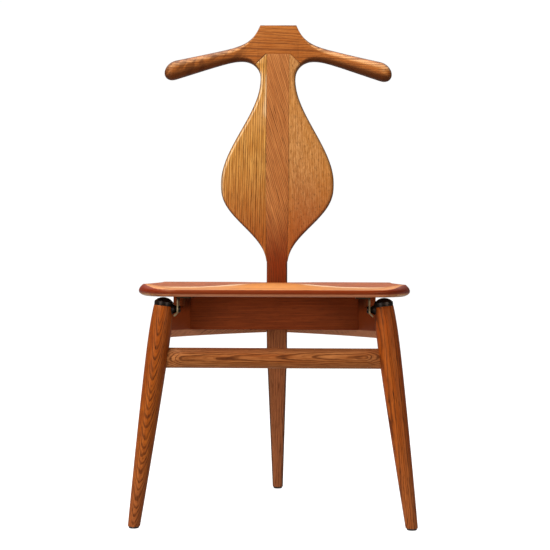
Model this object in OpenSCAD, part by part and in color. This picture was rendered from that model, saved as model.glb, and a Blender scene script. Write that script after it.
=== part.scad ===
// Three-legged clothes valet chair. A turned front leg on each side, a splayed rear leg that runs
// on as the middle of the back, a coat-hanger yoke on top, and a dished seat that hinges up on the
// front legs over a shallow triangular box. Millimetres. Front faces -Y, +X is to the right, and
// the origin lies on the floor under the middle of the chair.

/* [Overall] */
// Height to the flat top of the hanger
total_h = 952; // [900:1:1010]
// Height of the seat's rim
seat_h = 433; // [415:1:450]
// Distance between the middles of the two front feet
foot_spread = 489; // [440:1:520]
// Distance from the front feet's middles to the rear foot's middle
foot_reach = 456; // [440:1:480]
// Distance from the origin forward to the front feet's middles
front_feet_y = 221; // [215:0.5:228]

/* [Front legs] */
// Outward lean of a front leg in degrees
lean_side = 7.24; // [5.5:0.02:8.5]
// Backward lean of a front leg in degrees, from foot to top
lean_back = 2.3; // [1.5:0.1:3]
// Diameter at the foot
leg_foot_d = 21.3; // [19:0.1:26]
// Greatest diameter
leg_belly_d = 39.3; // [37:0.1:42]
// Height of the greatest diameter
leg_belly_z = 320; // [305:1:335]
// Diameter at the top of the wood
leg_top_d = 34.4; // [33.5:0.1:36]
// Diameter of the metal cap
cap_d = 34; // [32:0.1:35]
// Gap between the cap's dome and the seat
cap_gap = 0.7; // [0.5:0.1:2]
// Length of the cap's spigot in the leg
cap_spigot_l = 1.6; // [1.2:0.1:2]
// Diameter of the cap's spigot
cap_spigot_d = 14; // [8:0.5:18]

/* [Feet] */
// Thickness of the glides that show under the feet
glide_t = 3; // [2:0.5:5]
// Amount that a glide's rim is set in from the wood
glide_inset = 1.6; // [0.5:0.1:3]
// Diameter of a glide's pin
glide_pin_d = 4; // [3:0.5:6]
// Length of a glide's pin
glide_pin_l = 12; // [8:1:20]

/* [Front stretcher] */
// Height of its middle
stretcher_z = 299; // [285:1:305]
// Height of its section
stretcher_h = 36; // [30:1:40]
// Front-to-back depth of its section
stretcher_d = 24; // [20:1:28]
// Diameter of its round tenons
stretcher_tenon_d = 16; // [12:0.5:18]
// Depth of the tenons in the legs
stretcher_tenon_l = 15; // [10:1:17]

/* [Seat] */
// Thickness at the rim
seat_t = 26; // [24:0.5:30]
// Greatest width
seat_w = 490; // [470:1:505]
// Width along the straight rear edge
seat_rear_w = 464; // [440:1:464]
// Width of the front edge between its round corners
seat_front_w = 330; // [300:1:360]
// Overhang of the front edge past the hinge axis
seat_overhang = 38.9; // [36:0.1:42]
// Distance from the hinge axis back to the rear edge
seat_reach = 268.6; // [262:0.1:272]
// Depth of the rear bowl
bowl_depth = 13; // [8:0.5:15]
// Depth of the two thigh scoops
scoop_depth = 9.5; // [6:0.5:11]
// Distance from the front ridge out to a thigh scoop's floor
scoop_x = 142; // [110:1:160]
// Distance from the rear edge to the bowl's middle
bowl_from_rear = 137; // [120:1:150]
// Distance from the bowl's middle to its front and rear limits
bowl_reach = 140; // [110:1:145]
// Width of the rim beside the bowl
bowl_rim_w = 14; // [8:1:30]
// Width of the rim beside a thigh scoop
scoop_rim_w = 4; // [2:1:12]
// Width of the slope between that rim and the scoop's floor
scoop_slope_w = 38; // [25:1:50]
// Fall of the side rims towards the front
side_drop = 3; // [0:0.5:5]
// Length of the round front corners along Y
seat_corner_l = 95; // [70:1:120]
// Radius of the rear corners
rear_corner_r = 9; // [4:0.5:20]
// Height of the edge's outermost line above the underside
edge_h = 13; // [10:0.5:16]
// Width of the rounding above that line, at the sides
edge_top_w = 30; // [16:1:36]
// Width of the rounding below that line, at the sides
edge_under_w = 38; // [20:1:44]
// Width of the front lip, which slopes forward from the crest to that line
lip_w = 45; // [20:1:60]
// Width of the rounding below that line, at the front
lip_under_w = 16; // [8:1:38]
// Width of the rounding at the straight rear edge
rear_edge_w = 3; // [1:0.5:6]

/* [Hinge] */
// Height of the seat's underside above the hinge axis
pivot_drop = 22; // [20.5:0.1:26]
// Height of the leg's wood above the hinge axis
leg_top_above = 5.5; // [5.5:0.5:8]
// Thickness of the bracket's strap
strap_t = 2.5; // [2:0.1:3]
// Gap between the strap and the leg's wood, level with the axis
strap_gap = 7.5; // [6:0.1:9]
// Reach of the strap in front of the axis
strap_front = 12; // [9:0.5:14]
// Reach of the strap behind the axis
strap_back = 24; // [18:0.5:30]
// Width of the bracket's flange under the seat
flange_w = 25; // [20:0.5:32]
// Height of the bend below the axis, where the strap's lip turns outward
lip_drop = 5.2; // [4.5:0.1:6]
// Rise and run of the lip, which lies at 45 degrees
lip_run = 6.3; // [4:0.1:7]
// Length of the lip along Y
lip_len = 16; // [10:1:20]
// Diameter of the pivot screw's shoulder
pivot_d = 6; // [5:0.5:7]
// Diameter of the pivot screw's head
pivot_head_d = 13; // [11:0.5:15]
// Thickness of the pivot screw's head
pivot_head_t = 3; // [2:0.5:4]
// Diameter of the pivot screw's thread in the leg
pivot_thread_d = 4.6; // [4:0.1:5]
// Length of the pivot screw's thread in the leg
pivot_thread_l = 12; // [8:0.5:14]
// Diameter of the spacer where it sits on the leg
spacer_d = 21; // [18:0.5:22]
// Diameter of the spacer where it faces the strap
spacer_nose_d = 9; // [8:0.5:9.5]
// Depth of the flat spot for the spacer in the leg
spot_depth = 2.4; // [1.8:0.1:3]
// Diameter of the bracket's wood screws
wood_screw_d = 4; // [3:0.5:4.5]
// Length of the bracket's wood screws
wood_screw_l = 16; // [12:1:18]

/* [Box under the seat] */
// Thickness of the bowed side rails
rail_t = 19; // [16:0.5:21]
// Height of the side rails
rail_h = 73; // [66:1:76]
// Radius of the rails' inner faces
rail_bow_r = 950; // [800:10:1300]
// Distance of a rail's inner face from the middle, at the leg
rail_front_x = 188; // [184:0.5:190]
// Thickness of the front board
box_board_t = 14; // [10:0.5:18]
// Distance of the front board's face behind the hinge axis
box_setback = 85.2; // [60:0.1:95]
// Thickness of the box's bottom panel
box_bottom_t = 5; // [4:0.5:8]
// Height of the bottom panel above the rails' lower edges
box_bottom_rise = 12; // [8:0.5:16]
// Depth of the grooves that hold the bottom panel
groove_depth = 4; // [3:0.5:6]
// Length of the rails' tenons
rail_tenon_l = 9; // [6:0.5:10]
// Thickness of the rails' tenons
rail_tenon_t = 9; // [7:0.5:11]

/* [Back] */
// Width of the middle piece at the seat
spine_w = 40.2; // [36:0.2:44]
// Width of the middle piece in the back
spine_top_w = 45; // [44.5:0.5:50]
// Depth of the middle piece at the knee
knee_t = 52; // [46:0.5:56]
// Thickness of the back
back_t = 27; // [22:0.5:30]
// Diameter of the rear foot
rear_foot_d = 21.3; // [19:0.1:26]
// Gap between the seat's rear edge and the middle piece
seat_back_gap = 2; // [1:0.5:6]
// Amount that the back's top lies behind its front face at the seat
back_lean = 59.5; // [45:0.5:75]
// Height where the back starts to widen
bulb_from_z = 458; // [452:1:466]
// Height where it is widest
bulb_mid_z = 629; // [620:1:640]
// Greatest width of the back
bulb_w = 224; // [200:1:240]
// Radius of the back's rounded edges
back_edge_r = 9; // [4:0.5:11]
// Width of the neck below the hanger
neck_w = 70; // [66:1:78]
// Height of the neck below the hanger's joint
neck_drop = 52; // [45:1:60]

/* [Hanger] */
// Width from tip to tip
hanger_w = 456; // [420:1:470]
// Height of the hanger above its joint with the back
hanger_h = 60; // [54:1:64]
// Width of the flat top
crest_w = 73; // [66:1:80]
// Diameter of an arm at its tip
arm_tip_d = 38; // [34:0.5:42]
// Amount that the tips lie in front of the middle
arm_sweep = 12; // [0:1:20]
// Length of the loose tenon between the back and the hanger
tenon_l = 50; // [30:1:60]
// Thickness of the loose tenon
tenon_t = 8; // [6:0.5:10]
// Width of the loose tenon
tenon_w = 24; // [18:1:30]

/* [Hidden] */

eps = 0.01;       // overshoot of a cut past the face that it opens
bite = 1;         // overlap of two bodies of one piece
big = 1200;       // longer than anything in the chair
fit = 0.15;       // clearance of a glued tenon in its mortise
glue = 0.05;      // glue line between two shaped faces
play = 0.05;      // radial clearance of the hinge
side_play = 0.2;  // gap between the strap and the spacer
under_gap = 0.3;  // gap between the box and the seat's underside

oak = "#b8692c";
spine_oak = "#9c4a22";
box_wood = "#6b2c18";
teak = "#b5522a";
black_brass = "#3a3226";
brass = "#a58355";
glide_black = "#26211e";

$fn = 96;

// Levels
seat_bottom_z = seat_h - seat_t;
pivot_z = seat_bottom_z - pivot_drop;
box_top_z = seat_bottom_z - under_gap;
rail_bottom_z = box_top_z - rail_h;
panel_z = rail_bottom_z + box_bottom_rise;
joint_z = total_h - hanger_h;
neck_z = joint_z - neck_drop;

// Front leg: its middle line at a height, its lean, and the length along it for a unit of height
function leg_x(z) = foot_spread / 2 - z * tan(lean_side);
function leg_y(z) = -front_feet_y + z * tan(lean_back);
leg_dir = [-tan(lean_side), tan(lean_back), 1];
leg_len = norm(leg_dir);
leg_tilt = acos(1 / leg_len);
pivot_x = leg_x(pivot_z);
pivot_y = leg_y(pivot_z);
leg_top_z = pivot_z + leg_top_above;
lower_curve = 1.38;  // power of the leg's taper below the belly, and above it
upper_curve = 2.6;
function leg_r(z) = z < leg_belly_z
    ? leg_belly_d / 2 - (leg_belly_d - leg_foot_d) / 2
        * pow((leg_belly_z - z) / leg_belly_z, lower_curve)
    : leg_belly_d / 2 - (leg_belly_d - leg_top_d) / 2
        * pow((z - leg_belly_z) / (leg_top_z - leg_belly_z), upper_curve);

// Hinge
strap_x = pivot_x - leg_r(pivot_z) - strap_gap;  // outer face of the strap
spot_x = pivot_x - leg_r(pivot_z) + spot_depth;
spot_clear = 0.3;    // clearance round the spacer in its spot
spacer_x = strap_x + side_play;
dome_r = pivot_drop - cap_gap;
screw_inset = 8;     // from the bracket's ends to its wood screws
screw_x = strap_x - strap_t - (flange_w - strap_t) / 2;
screw_ys = [pivot_y - strap_front + screw_inset, pivot_y + strap_back - screw_inset];
head_taper = 2;      // by which the pivot screw's head narrows
slot_w = 1.2;        // width and depth of the slot in that head

// Seat
seat_front_y = pivot_y - seat_overhang;
seat_rear_y = pivot_y + seat_reach;
seat_depth = seat_rear_y - seat_front_y;
edge_z = seat_bottom_z + edge_h;
edge_flat = 0.7;      // start of the rounding, which leaves a narrow face at the outermost line
lip_curve = 1.6;      // 1 for a straight slope of the lip, more for one that eases off at its crest
bowl_y = seat_rear_y - bowl_from_rear;
scoop_full_y = seat_front_y + 40;   // the scoops are full up to here, and gone behind the other
scoop_end_y = bowl_y + 30;
board_ys = [for (i = [0 : 4]) seat_front_y + seat_depth * i / 4];

// Rails: each inner face is an arc from the leg to the middle piece's side
knee_y = seat_rear_y + seat_back_gap;
rail_front_y = leg_y(pivot_z) + leg_r(pivot_z) + 1.2;  // where a rail's inner face leaves the leg
rail_from = [rail_front_x, rail_front_y];
rail_to = [spine_w / 2, knee_y - 1];
rail_chord = rail_to - rail_from;
rail_normal = [rail_chord[1], -rail_chord[0]] / norm(rail_chord);
rail_middle = (rail_from + rail_to) / 2
    - rail_normal * sqrt(pow(rail_bow_r, 2) - pow(norm(rail_chord) / 2, 2));
function rail_x(y, r) = rail_middle[0] + sqrt(pow(r, 2) - pow(y - rail_middle[1], 2));
box_front_y = pivot_y + box_setback;
rail_start_y = pivot_y + 10;          // inside the leg, to whose back a rail is scribed
rail_notch_x = strap_x + 4;           // the rail is lowered from here out, to clear the hinge
rail_notch_z = leg_top_z - cap_d / 2 * tan(leg_tilt) - 0.5;
front_tenon_foot = 7;                 // from a rail's lower edge up to its front tenon
front_tenon_drop = 7;                 // from the hinge axis down to that tenon
rear_tenon_foot = 14;                 // from a rail's lower edge up to its rear tenon
rear_tenon_drop = 12;                 // from the rail's upper edge down to that tenon
rear_tenon_back = 9;                  // from the middle piece's front face back to that tenon
tenon_bite = 4;                       // length of a tenon inside its own rail
panel_end_y = seat_rear_y - 0.5;      // just short of the middle piece

// Rear leg and back, seen from the side: height, front face, depth
rear_foot_y = foot_reach - front_feet_y;
foot_front = rear_foot_y - rear_foot_d / 2;
spine_side = [
    [0, foot_front, rear_foot_d],
    [pivot_z * 0.39, foot_front - (foot_front - knee_y) * 0.43,
        rear_foot_d + (knee_t - rear_foot_d) * 0.38],
    [pivot_z * 0.74, foot_front - (foot_front - knee_y) * 0.81,
        rear_foot_d + (knee_t - rear_foot_d) * 0.74],
    [rail_bottom_z + 12, knee_y + 4, knee_t - 1],
    [seat_bottom_z - 7, knee_y, knee_t],
    [seat_h + 17, knee_y, knee_t - (knee_t - back_t) * 0.27],
    [seat_h + 87, knee_y + back_lean * 0.03, back_t + (knee_t - back_t) * 0.32],
    [bulb_mid_z - 29, knee_y + back_lean * 0.09, back_t + 2],
    [bulb_mid_z + 71, knee_y + back_lean * 0.24, back_t],
    [joint_z, knee_y + back_lean * 0.82, back_t],
    [total_h, knee_y + back_lean, back_t]];
function front_y(z) = smooth_row(spine_side, z)[1];
function depth_at(z) = smooth_row(spine_side, z)[2];

// Half-widths of the middle piece and of the whole back at a height
function spine_x(z) = z < seat_bottom_z
    ? min(spine_w / 2, rear_foot_d / 2 + (spine_w - rear_foot_d) / 2 * z / (rail_bottom_z - 40))
    : spine_w / 2 + (spine_top_w - spine_w) / 2 * between(seat_h + 40, bulb_mid_z - 15, z);
function back_x(z) = z < bulb_mid_z
    ? spine_x(z) + (bulb_w / 2 - spine_x(z)) * soft_ease(between(bulb_from_z, bulb_mid_z, z))
    : neck_w / 2 + (bulb_w - neck_w) / 2 * (1 - ease(between(bulb_mid_z, neck_z, z)));

// Hanger: its upper and lower outline at a distance from the middle
joint_x = spine_top_w / 2 + 1.5;
miter_x = joint_x + 23;    // outer end of the diagonal joint, in the armpit
miter_z = joint_z - (miter_x - joint_x);
shoulder_r = 14.6;         // how slowly the upper line curves off the crest, and how far it falls
shoulder_drop = 34.8;
top_slope = 0.23;
armpit_r = 19.8;           // the same for the lower line in the armpit
armpit_drop = 40.8;
under_slope = 0.341;
under_lift = 4.6;          // height of the lower line's straight part over the joint
tip_l = 23;                // length of an arm's round end
function arm_top(x) = total_h - shoulder_drop - top_slope * (x - crest_w / 2)
    + shoulder_drop * exp(-(x - crest_w / 2) / shoulder_r);
function arm_under(x) = joint_z + under_lift - under_slope * (x - crest_w / 2)
    - armpit_drop * exp(-(x - crest_w / 2) / armpit_r);
function tip_share(x) = sqrt(max(0.0004, 1 - pow(max(0, x - (hanger_w / 2 - tip_l)) / tip_l, 2)));

// A share from 0 to 1 along a stretch, and the same with soft and with softer ends
function between(a, b, v) = max(0, min(1, (v - a) / (b - a)));
function ease(t) = t * t * (3 - 2 * t);
function soft_ease(t) = pow(t, 3) * (t * (6 * t - 15) + 10);

// A row of a table at a first value between its rows, on a smooth curve through them
function row_at(rows, v, i = 0) = i >= len(rows) - 2 || v < rows[i + 1][0] ? i : row_at(rows, v, i + 1);
function slope(rows, i) = let (a = rows[max(0, i - 1)], b = rows[min(len(rows) - 1, i + 1)])
    (b - a) / (b[0] - a[0]);
function smooth_row(rows, v) = let (
    i = row_at(rows, v),
    a = rows[i],
    b = rows[i + 1],
    step = b[0] - a[0],
    t = between(a[0], b[0], v))
    a * (1 + 2 * t) * pow(1 - t, 2) + slope(rows, i) * step * t * pow(1 - t, 2)
        + b * t * t * (3 - 2 * t) + slope(rows, i + 1) * step * t * t * (t - 1);

// Points round a rectangle with rounded corners, from one corner on round
function round_rect(half_x, half_y, r, steps) = [
    for (corner = [[1, 1, 0], [-1, 1, 90], [-1, -1, 180], [1, -1, 270]], s = [0 : steps])
        let (a = corner[2] + 90 * s / steps)
        [corner[0] * (half_x - r) + r * cos(a), corner[1] * (half_y - r) + r * sin(a)]];

// A closed skin over rings with as many points each. Each end is closed by a strip, from the
// first and last point of its ring to the two in the middle.
module skin(rings) {
    n = len(rings[0]);
    last = (len(rings) - 1) * n;
    cap = [for (i = [0 : ceil(n / 2) - 2]) each [[i, i + 1, n - 1 - i],
        if (i + 1 != n - 2 - i) [i + 1, n - 2 - i, n - 1 - i]]];
    polyhedron(points = [for (ring = rings) each ring],
        faces = concat(cap,
            [for (f = cap) [last + f[2], last + f[1], last + f[0]]],
            [for (k = [0 : n : last - n], i = [0 : n - 1]) each [
                [k + i, k + n + i, k + (i + 1) % n],
                [k + n + i, k + n + (i + 1) % n, k + (i + 1) % n]]]));
}

module mirrored(side) {
    if (side > 0) children();
    else mirror([1, 0, 0]) children();
}

// Puts its children on the right front leg's middle line, with z along the leg from the floor
module on_leg() {
    translate([leg_x(0), leg_y(0), 0])
        rotate(a = leg_tilt, v = [-leg_dir[1], leg_dir[0], 0])
            children();
}

// Puts its children on the hinge axis, with z pointing away from the middle of the chair
module on_pivot(x) {
    translate([x, pivot_y, pivot_z]) rotate([0, 90, 0]) children();
}

module leg_shape(grow = 0) {
    steps = 16;
    on_leg() rotate_extrude()
        polygon(concat([[0, 0]],
            [for (i = [0 : steps]) let (z = leg_top_z * i / steps) [leg_r(z) + grow, z * leg_len]],
            [[0, leg_top_z * leg_len]]));
}

// Flat spot that the spacer sits on, cut into the leg and the cap
module spot_cut() {
    on_pivot(spot_x - leg_belly_d) cylinder(d = spacer_d + 2 * spot_clear, h = leg_belly_d);
}

module front_leg(side) {
    color(oak) mirrored(side) difference() {
        leg_shape();
        translate([-big / 2, -big / 2, glide_t - big]) cube(big);
        spot_cut();
        on_pivot(spot_x - eps) cylinder(d = pivot_thread_d, h = pivot_thread_l + eps);
        on_leg() translate([0, 0, leg_top_z * leg_len - cap_spigot_l - fit])
            cylinder(d = cap_spigot_d + 2 * fit, h = cap_spigot_l + pivot_drop);
        glide_pin_at(leg_x(glide_t), leg_y(glide_t), fit);
        stretcher_tenon(fit);
        rail_front_tenon(fit);
    }
}

module leg_cap(side) {
    color(black_brass) mirrored(side) difference() {
        union() {
            intersection() {
                on_leg() translate([0, 0, leg_top_z * leg_len]) cylinder(d = cap_d, h = pivot_drop);
                translate([pivot_x, pivot_y, pivot_z]) sphere(r = dome_r);
            }
            on_leg() translate([0, 0, leg_top_z * leg_len - cap_spigot_l])
                cylinder(d = cap_spigot_d, h = cap_spigot_l + bite);
        }
        spot_cut();
    }
}

module glide_pin_at(x, y, grow = 0) {
    translate([x, y, glide_t - eps])
        cylinder(d = glide_pin_d + 2 * grow, h = glide_pin_l + grow + eps);
}

glide_edge = 1;  // bevel round a glide's lower rim
module glide(x, y, d) {
    translate([x, y, 0]) rotate_extrude()
        polygon([[0, 0], [d / 2 - glide_edge, 0], [d / 2, glide_edge], [d / 2, glide_t], [0, glide_t]]);
    glide_pin_at(x, y);
}

module foot_glide_front(side) {
    color(glide_black) mirrored(side)
        glide(leg_x(glide_t), leg_y(glide_t), leg_foot_d - 2 * glide_inset);
}

module foot_glide_rear() {
    color(glide_black) glide(0, spine_middle_y(glide_t), rear_foot_d - 2 * glide_inset);
}
function spine_middle_y(z) = front_y(z) + depth_at(z) / 2;

module stretcher_tenon(grow = 0) {
    reach = leg_x(stretcher_z) - leg_r(stretcher_z) + stretcher_tenon_l;
    translate([0, leg_y(stretcher_z), stretcher_z]) rotate([0, 90, 0])
        cylinder(d = stretcher_tenon_d + 2 * grow, h = reach + grow);
}

stretcher_sides = 48;
module front_stretcher() {
    color(oak) union() {
        difference() {
            translate([-leg_x(stretcher_z), leg_y(stretcher_z), stretcher_z])
                rotate([90, 0, 90]) linear_extrude(2 * leg_x(stretcher_z))
                    polygon([for (i = [0 : stretcher_sides - 1]) let (a = 360 * i / stretcher_sides)
                        [stretcher_d / 2 * cos(a), stretcher_h / 2 * sin(a)]]);
            leg_shape(glue);
            mirror([1, 0, 0]) leg_shape(glue);
        }
        stretcher_tenon();
        mirror([1, 0, 0]) stretcher_tenon();
    }
}

// Tenon on a rail's front end, in the back of the leg
module rail_front_tenon(grow = 0) {
    low = rail_bottom_z + front_tenon_foot - grow;
    high = pivot_z - front_tenon_drop + grow;
    middle = leg_x((low + high) / 2);
    end = leg_y(pivot_z) + leg_r(pivot_z) - rail_tenon_l - grow;
    translate([middle - rail_tenon_t / 2 - grow, end, low])
        cube([rail_tenon_t + 2 * grow, rail_tenon_l + tenon_bite, high - low]);
}

// Tenon on a rail's rear end, in the side of the middle piece
module rail_rear_tenon(grow = 0) {
    low = rail_bottom_z + rear_tenon_foot - grow;
    high = box_top_z - rear_tenon_drop + grow;
    translate([spine_w / 2 - rail_tenon_l - grow, knee_y + rear_tenon_back - grow, low])
        cube([rail_tenon_l + tenon_bite + grow, rail_tenon_t + 2 * grow, high - low]);
}

module rail_plan(r) {
    translate(rail_middle) circle(r = r, $fn = 720);
}

module side_rail(side) {
    color(box_wood) mirrored(side) union() {
        difference() {
            translate([0, 0, rail_bottom_z]) linear_extrude(rail_h) intersection() {
                difference() {
                    rail_plan(rail_bow_r + rail_t);
                    rail_plan(rail_bow_r);
                }
                translate([spine_w / 2, rail_start_y]) square(big);
            }
            leg_shape(glue);
            // Clearance round the hinge
            translate([rail_notch_x, -big / 2, rail_notch_z]) cube(big);
            // Groove for the bottom panel
            translate([0, 0, panel_z]) linear_extrude(box_bottom_t)
                intersection() {
                    rail_plan(rail_bow_r + groove_depth);
                    translate([-big / 2, box_front_y]) square([big, seat_rear_y - box_front_y]);
                }
        }
        rail_front_tenon();
        rail_rear_tenon();
    }
}

// Plan of the space between the two rails, grown outward past their inner faces
module between_rails(grow) {
    intersection() {
        rail_plan(rail_bow_r + grow);
        mirror([1, 0]) rail_plan(rail_bow_r + grow);
    }
}

module box_front_board() {
    color(box_wood) difference() {
        translate([0, 0, panel_z]) linear_extrude(box_top_z - panel_z) intersection() {
            between_rails(-glue);
            translate([-big / 2, box_front_y]) square([big, box_board_t]);
        }
        translate([-big / 2, box_front_y + box_board_t - groove_depth, panel_z - eps])
            cube([big, box_board_t, box_bottom_t + 2 * eps]);
    }
}

module box_bottom_panel() {
    start_y = box_front_y + box_board_t - groove_depth + fit;
    color(box_wood) translate([0, 0, panel_z + fit]) linear_extrude(box_bottom_t - 2 * fit)
        intersection() {
            between_rails(groove_depth - fit);
            translate([-big / 2, start_y]) square([big, panel_end_y - start_y]);
        }
}

// Rear leg and the middle of the back, in one piece
module back_spine() {
    knee_from_z = rail_bottom_z - 20;
    leg_rings = [for (i = [0 : 13]) glide_t + (knee_from_z - glide_t) * i / 13];
    knee_rings = [for (i = [1 : 9]) knee_from_z + (bulb_from_z - knee_from_z) * i / 9];
    color(spine_oak) difference() {
        skin([for (z = concat(leg_rings, knee_rings, back_rings)) spine_ring(z)]);
        rail_rear_tenon(fit);
        mirror([1, 0, 0]) rail_rear_tenon(fit);
        glide_pin_at(0, spine_middle_y(glide_t), fit);
        loose_tenon(fit);
    }
}
back_rings = [for (i = [1 : 24]) bulb_from_z + (joint_z - bulb_from_z) * i / 24];
cheek_from_z = bulb_from_z + 16;
function spine_corner(z) = lookup(z, [[0, rear_foot_d / 2 - 0.4], [rail_bottom_z - 70, 9],
    [rail_bottom_z - 5, 3], [seat_h + 10, 3], [cheek_from_z - 12, 5], [cheek_from_z + 12, 0.4]]);
function spine_ring(z) = [for (p = round_rect(spine_x(z), depth_at(z) / 2, spine_corner(z), 4))
    [p[0], spine_middle_y(z) + p[1], z]];

// One side of the back, glued to the middle piece; its top end is cut at 45 degrees
module back_cheek(side) {
    color(oak) mirrored(side) intersection() {
        skin([for (z = concat([cheek_from_z], [for (z = back_rings) if (z > cheek_from_z + 4) z]))
            cheek_ring(z)]);
        // The diagonal joint under the hanger's arm
        translate([joint_x, -big / 2, joint_z - glue]) rotate([0, 45, 0])
            translate([-big, 0, -big]) cube([2 * big, big, big]);
    }
}
flare_curve = 2.6;   // power of a cheek's flare from the neck out to the diagonal joint
function cheek_x(z) = back_x(z) + (miter_x - neck_w / 2) * pow(between(neck_z, miter_z, z), flare_curve);
function cheek_ring(z) = let (
    x0 = spine_x(z) + glue,
    w = max(0.5, cheek_x(z) - x0),
    r = min(back_edge_r, 0.9 * w),
    half = depth_at(z) / 2 - 0.1,
    arc = [for (a = [-90 : 18 : 90]) [x0 + w - r + r * cos(a), sign(a) * (half - r) + r * sin(a)]])
    [for (p = concat([[x0, -half]], arc, [[x0, half]])) [p[0], spine_middle_y(z) + p[1], z]];

// Coat hanger: its middle block sits on the back, and its arms fall and sweep forward
module hanger_yoke() {
    half = concat([0, joint_x / 2, joint_x, crest_w / 2, crest_w / 2 + 2, crest_w / 2 + 5, miter_x],
        [for (d = [6, 14, 26, 42]) miter_x + d],
        [for (d = [118, 98, 78, 60, 44, 30, 20, 13, 7, 4, 1.5, 0]) hanger_w / 2 - d]);
    color(oak) difference() {
        skin([for (i = [-(len(half) - 1) : len(half) - 1]) yoke_ring(sign(i) * half[abs(i)])]);
        loose_tenon(fit);
    }
}
function yoke_top(x) = x < crest_w / 2 ? total_h : arm_top(x);
function yoke_under(x) = x < joint_x ? joint_z : max(joint_z - (x - joint_x), arm_under(x));
arm_round_x = 100;   // an arm's section is round from here out, and thickens towards its tip
hanger_lean = 0.18;  // run back for a unit of height
function yoke_ring(x) = let (
    ax = abs(x),
    share = tip_share(ax),
    middle = (yoke_top(ax) + yoke_under(ax)) / 2,
    half_h = (yoke_top(ax) - yoke_under(ax)) / 2 * share,
    swell = between(arm_round_x - 10, hanger_w / 2 - tip_l, ax),
    half_t = (back_t / 2 + (arm_tip_d - back_t) / 2 * swell) * share,
    roundness = 0.25 + 0.72 * between(crest_w / 2, arm_round_x, ax),
    sweep = arm_sweep * pow(between(crest_w / 2, hanger_w / 2, ax), 2))
    [for (p = round_rect(half_t, half_h, min(half_h, half_t) * roundness, 4))
        let (z = middle + p[1])
        [x, front_y(joint_z) + back_t / 2 - sweep + p[0] + hanger_lean * (z - joint_z), z]];

module loose_tenon(grow = 0) {
    size = [tenon_w, tenon_t, tenon_l] + 2 * grow * [1, 1, 1];
    translate([0, spine_middle_y(joint_z), joint_z] - size / 2)
        cube(size);
}

module hanger_tenon() {
    color(oak) loose_tenon();
}

// Half the seat's width at a place along Y: round front corners, bowed sides, small rear corners
function seat_half(y) = let (
    front_t = between(seat_front_y, seat_front_y + seat_corner_l, y),
    side_t = between(seat_front_y + seat_corner_l, seat_rear_y, y),
    rear_t = between(seat_rear_y, seat_rear_y - rear_corner_r, y))
    seat_w / 2 - (seat_w - seat_front_w) / 2 * (1 - sqrt(1 - pow(1 - front_t, 2)))
        - (seat_w - seat_rear_w) / 2 * side_t * side_t
        - rear_corner_r * (1 - sqrt(1 - pow(1 - rear_t, 2)));

// Depth of the hollowed top below the rim: a rear bowl, and two thigh scoops beside a front ridge
function bowl(x, y) = bowl_depth * ease(max(0,
    1 - pow(x / (seat_w / 2 - bowl_rim_w), 2) - pow((y - bowl_y) / bowl_reach, 2)));
function scoop(x, y) = let (rim = seat_half(y) - scoop_rim_w)
    scoop_depth * ease(between(0, scoop_x, abs(x)))
        * (1 - ease(between(rim - scoop_slope_w, rim, abs(x))))
        * (1 - ease(between(scoop_full_y, scoop_end_y, y)));
function seat_top(x, y) = seat_h - bowl(x, y) - scoop(x, y) * (1 - bowl(x, y) / bowl_depth)
    - side_drop * pow(abs(x) / (seat_w / 2), 3) * (1 - between(seat_front_y, seat_rear_y, y));

// Share of the full thickness at a distance in from an edge: rounded over a width, or sloping
function round_over(inset, w) = sqrt(1 - pow(1 - min(1, (inset + edge_flat) / w), 2));
function slope_over(inset, w) = 1 - pow(1 - min(1, (inset + edge_flat) / w), lip_curve);

// Points round the seat at a place along Y, first over the top and then back underneath
function seat_ring(y) = let (
    half = seat_half(y),
    insets = [0, 1, 3, 7, 13, 21, 30, edge_under_w],
    inner = half - edge_under_w,
    right = concat([for (i = insets) half - i], [for (i = [1 : 4]) inner * (1 - i / 4)]),
    xs = concat(right, [for (i = [len(right) - 2 : -1 : 0]) -right[i]]),
    front_in = y - seat_front_y,
    rear = round_over(seat_rear_y - y, rear_edge_w),
    above = min(rear, slope_over(front_in, lip_w)),
    below = min(rear, round_over(front_in, lip_under_w)))
    concat(
        [for (x = xs) [x, y, edge_z
            + (seat_top(x, y) - edge_z) * min(above, round_over(half - abs(x), edge_top_w))]],
        [for (i = [len(xs) - 1 : -1 : 0]) [xs[i], y, edge_z
            - edge_h * min(below, round_over(half - abs(xs[i]), edge_under_w))]]);

// One of the four boards that the seat is glued up from, with pilot holes for the bracket's screws
module seat_board(i) {
    start = board_ys[i];
    end = board_ys[i + 1];
    front = i == 0 ? [0, 1, 3, 7, 13, 21, 31, lip_w] : [0];
    rear = i == 3 ? [rear_corner_r, 5, 2.5, 0.8] : [];
    plain = [for (k = [1 : 4]) (end - start) * k / 5];
    steps = concat([for (d = front) start + d],
        [for (d = plain) if (d > max(front) + 5) start + d],
        [for (d = rear) end - d], [end]);
    color(teak) difference() {
        skin([for (y = steps) seat_ring(y)]);
        for (side = [-1, 1], y = screw_ys)
            if (y > start && y < end) translate([side * screw_x, y, seat_bottom_z - eps])
                cylinder(d = wood_screw_d, h = wood_screw_l + eps);
    }
}

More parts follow.
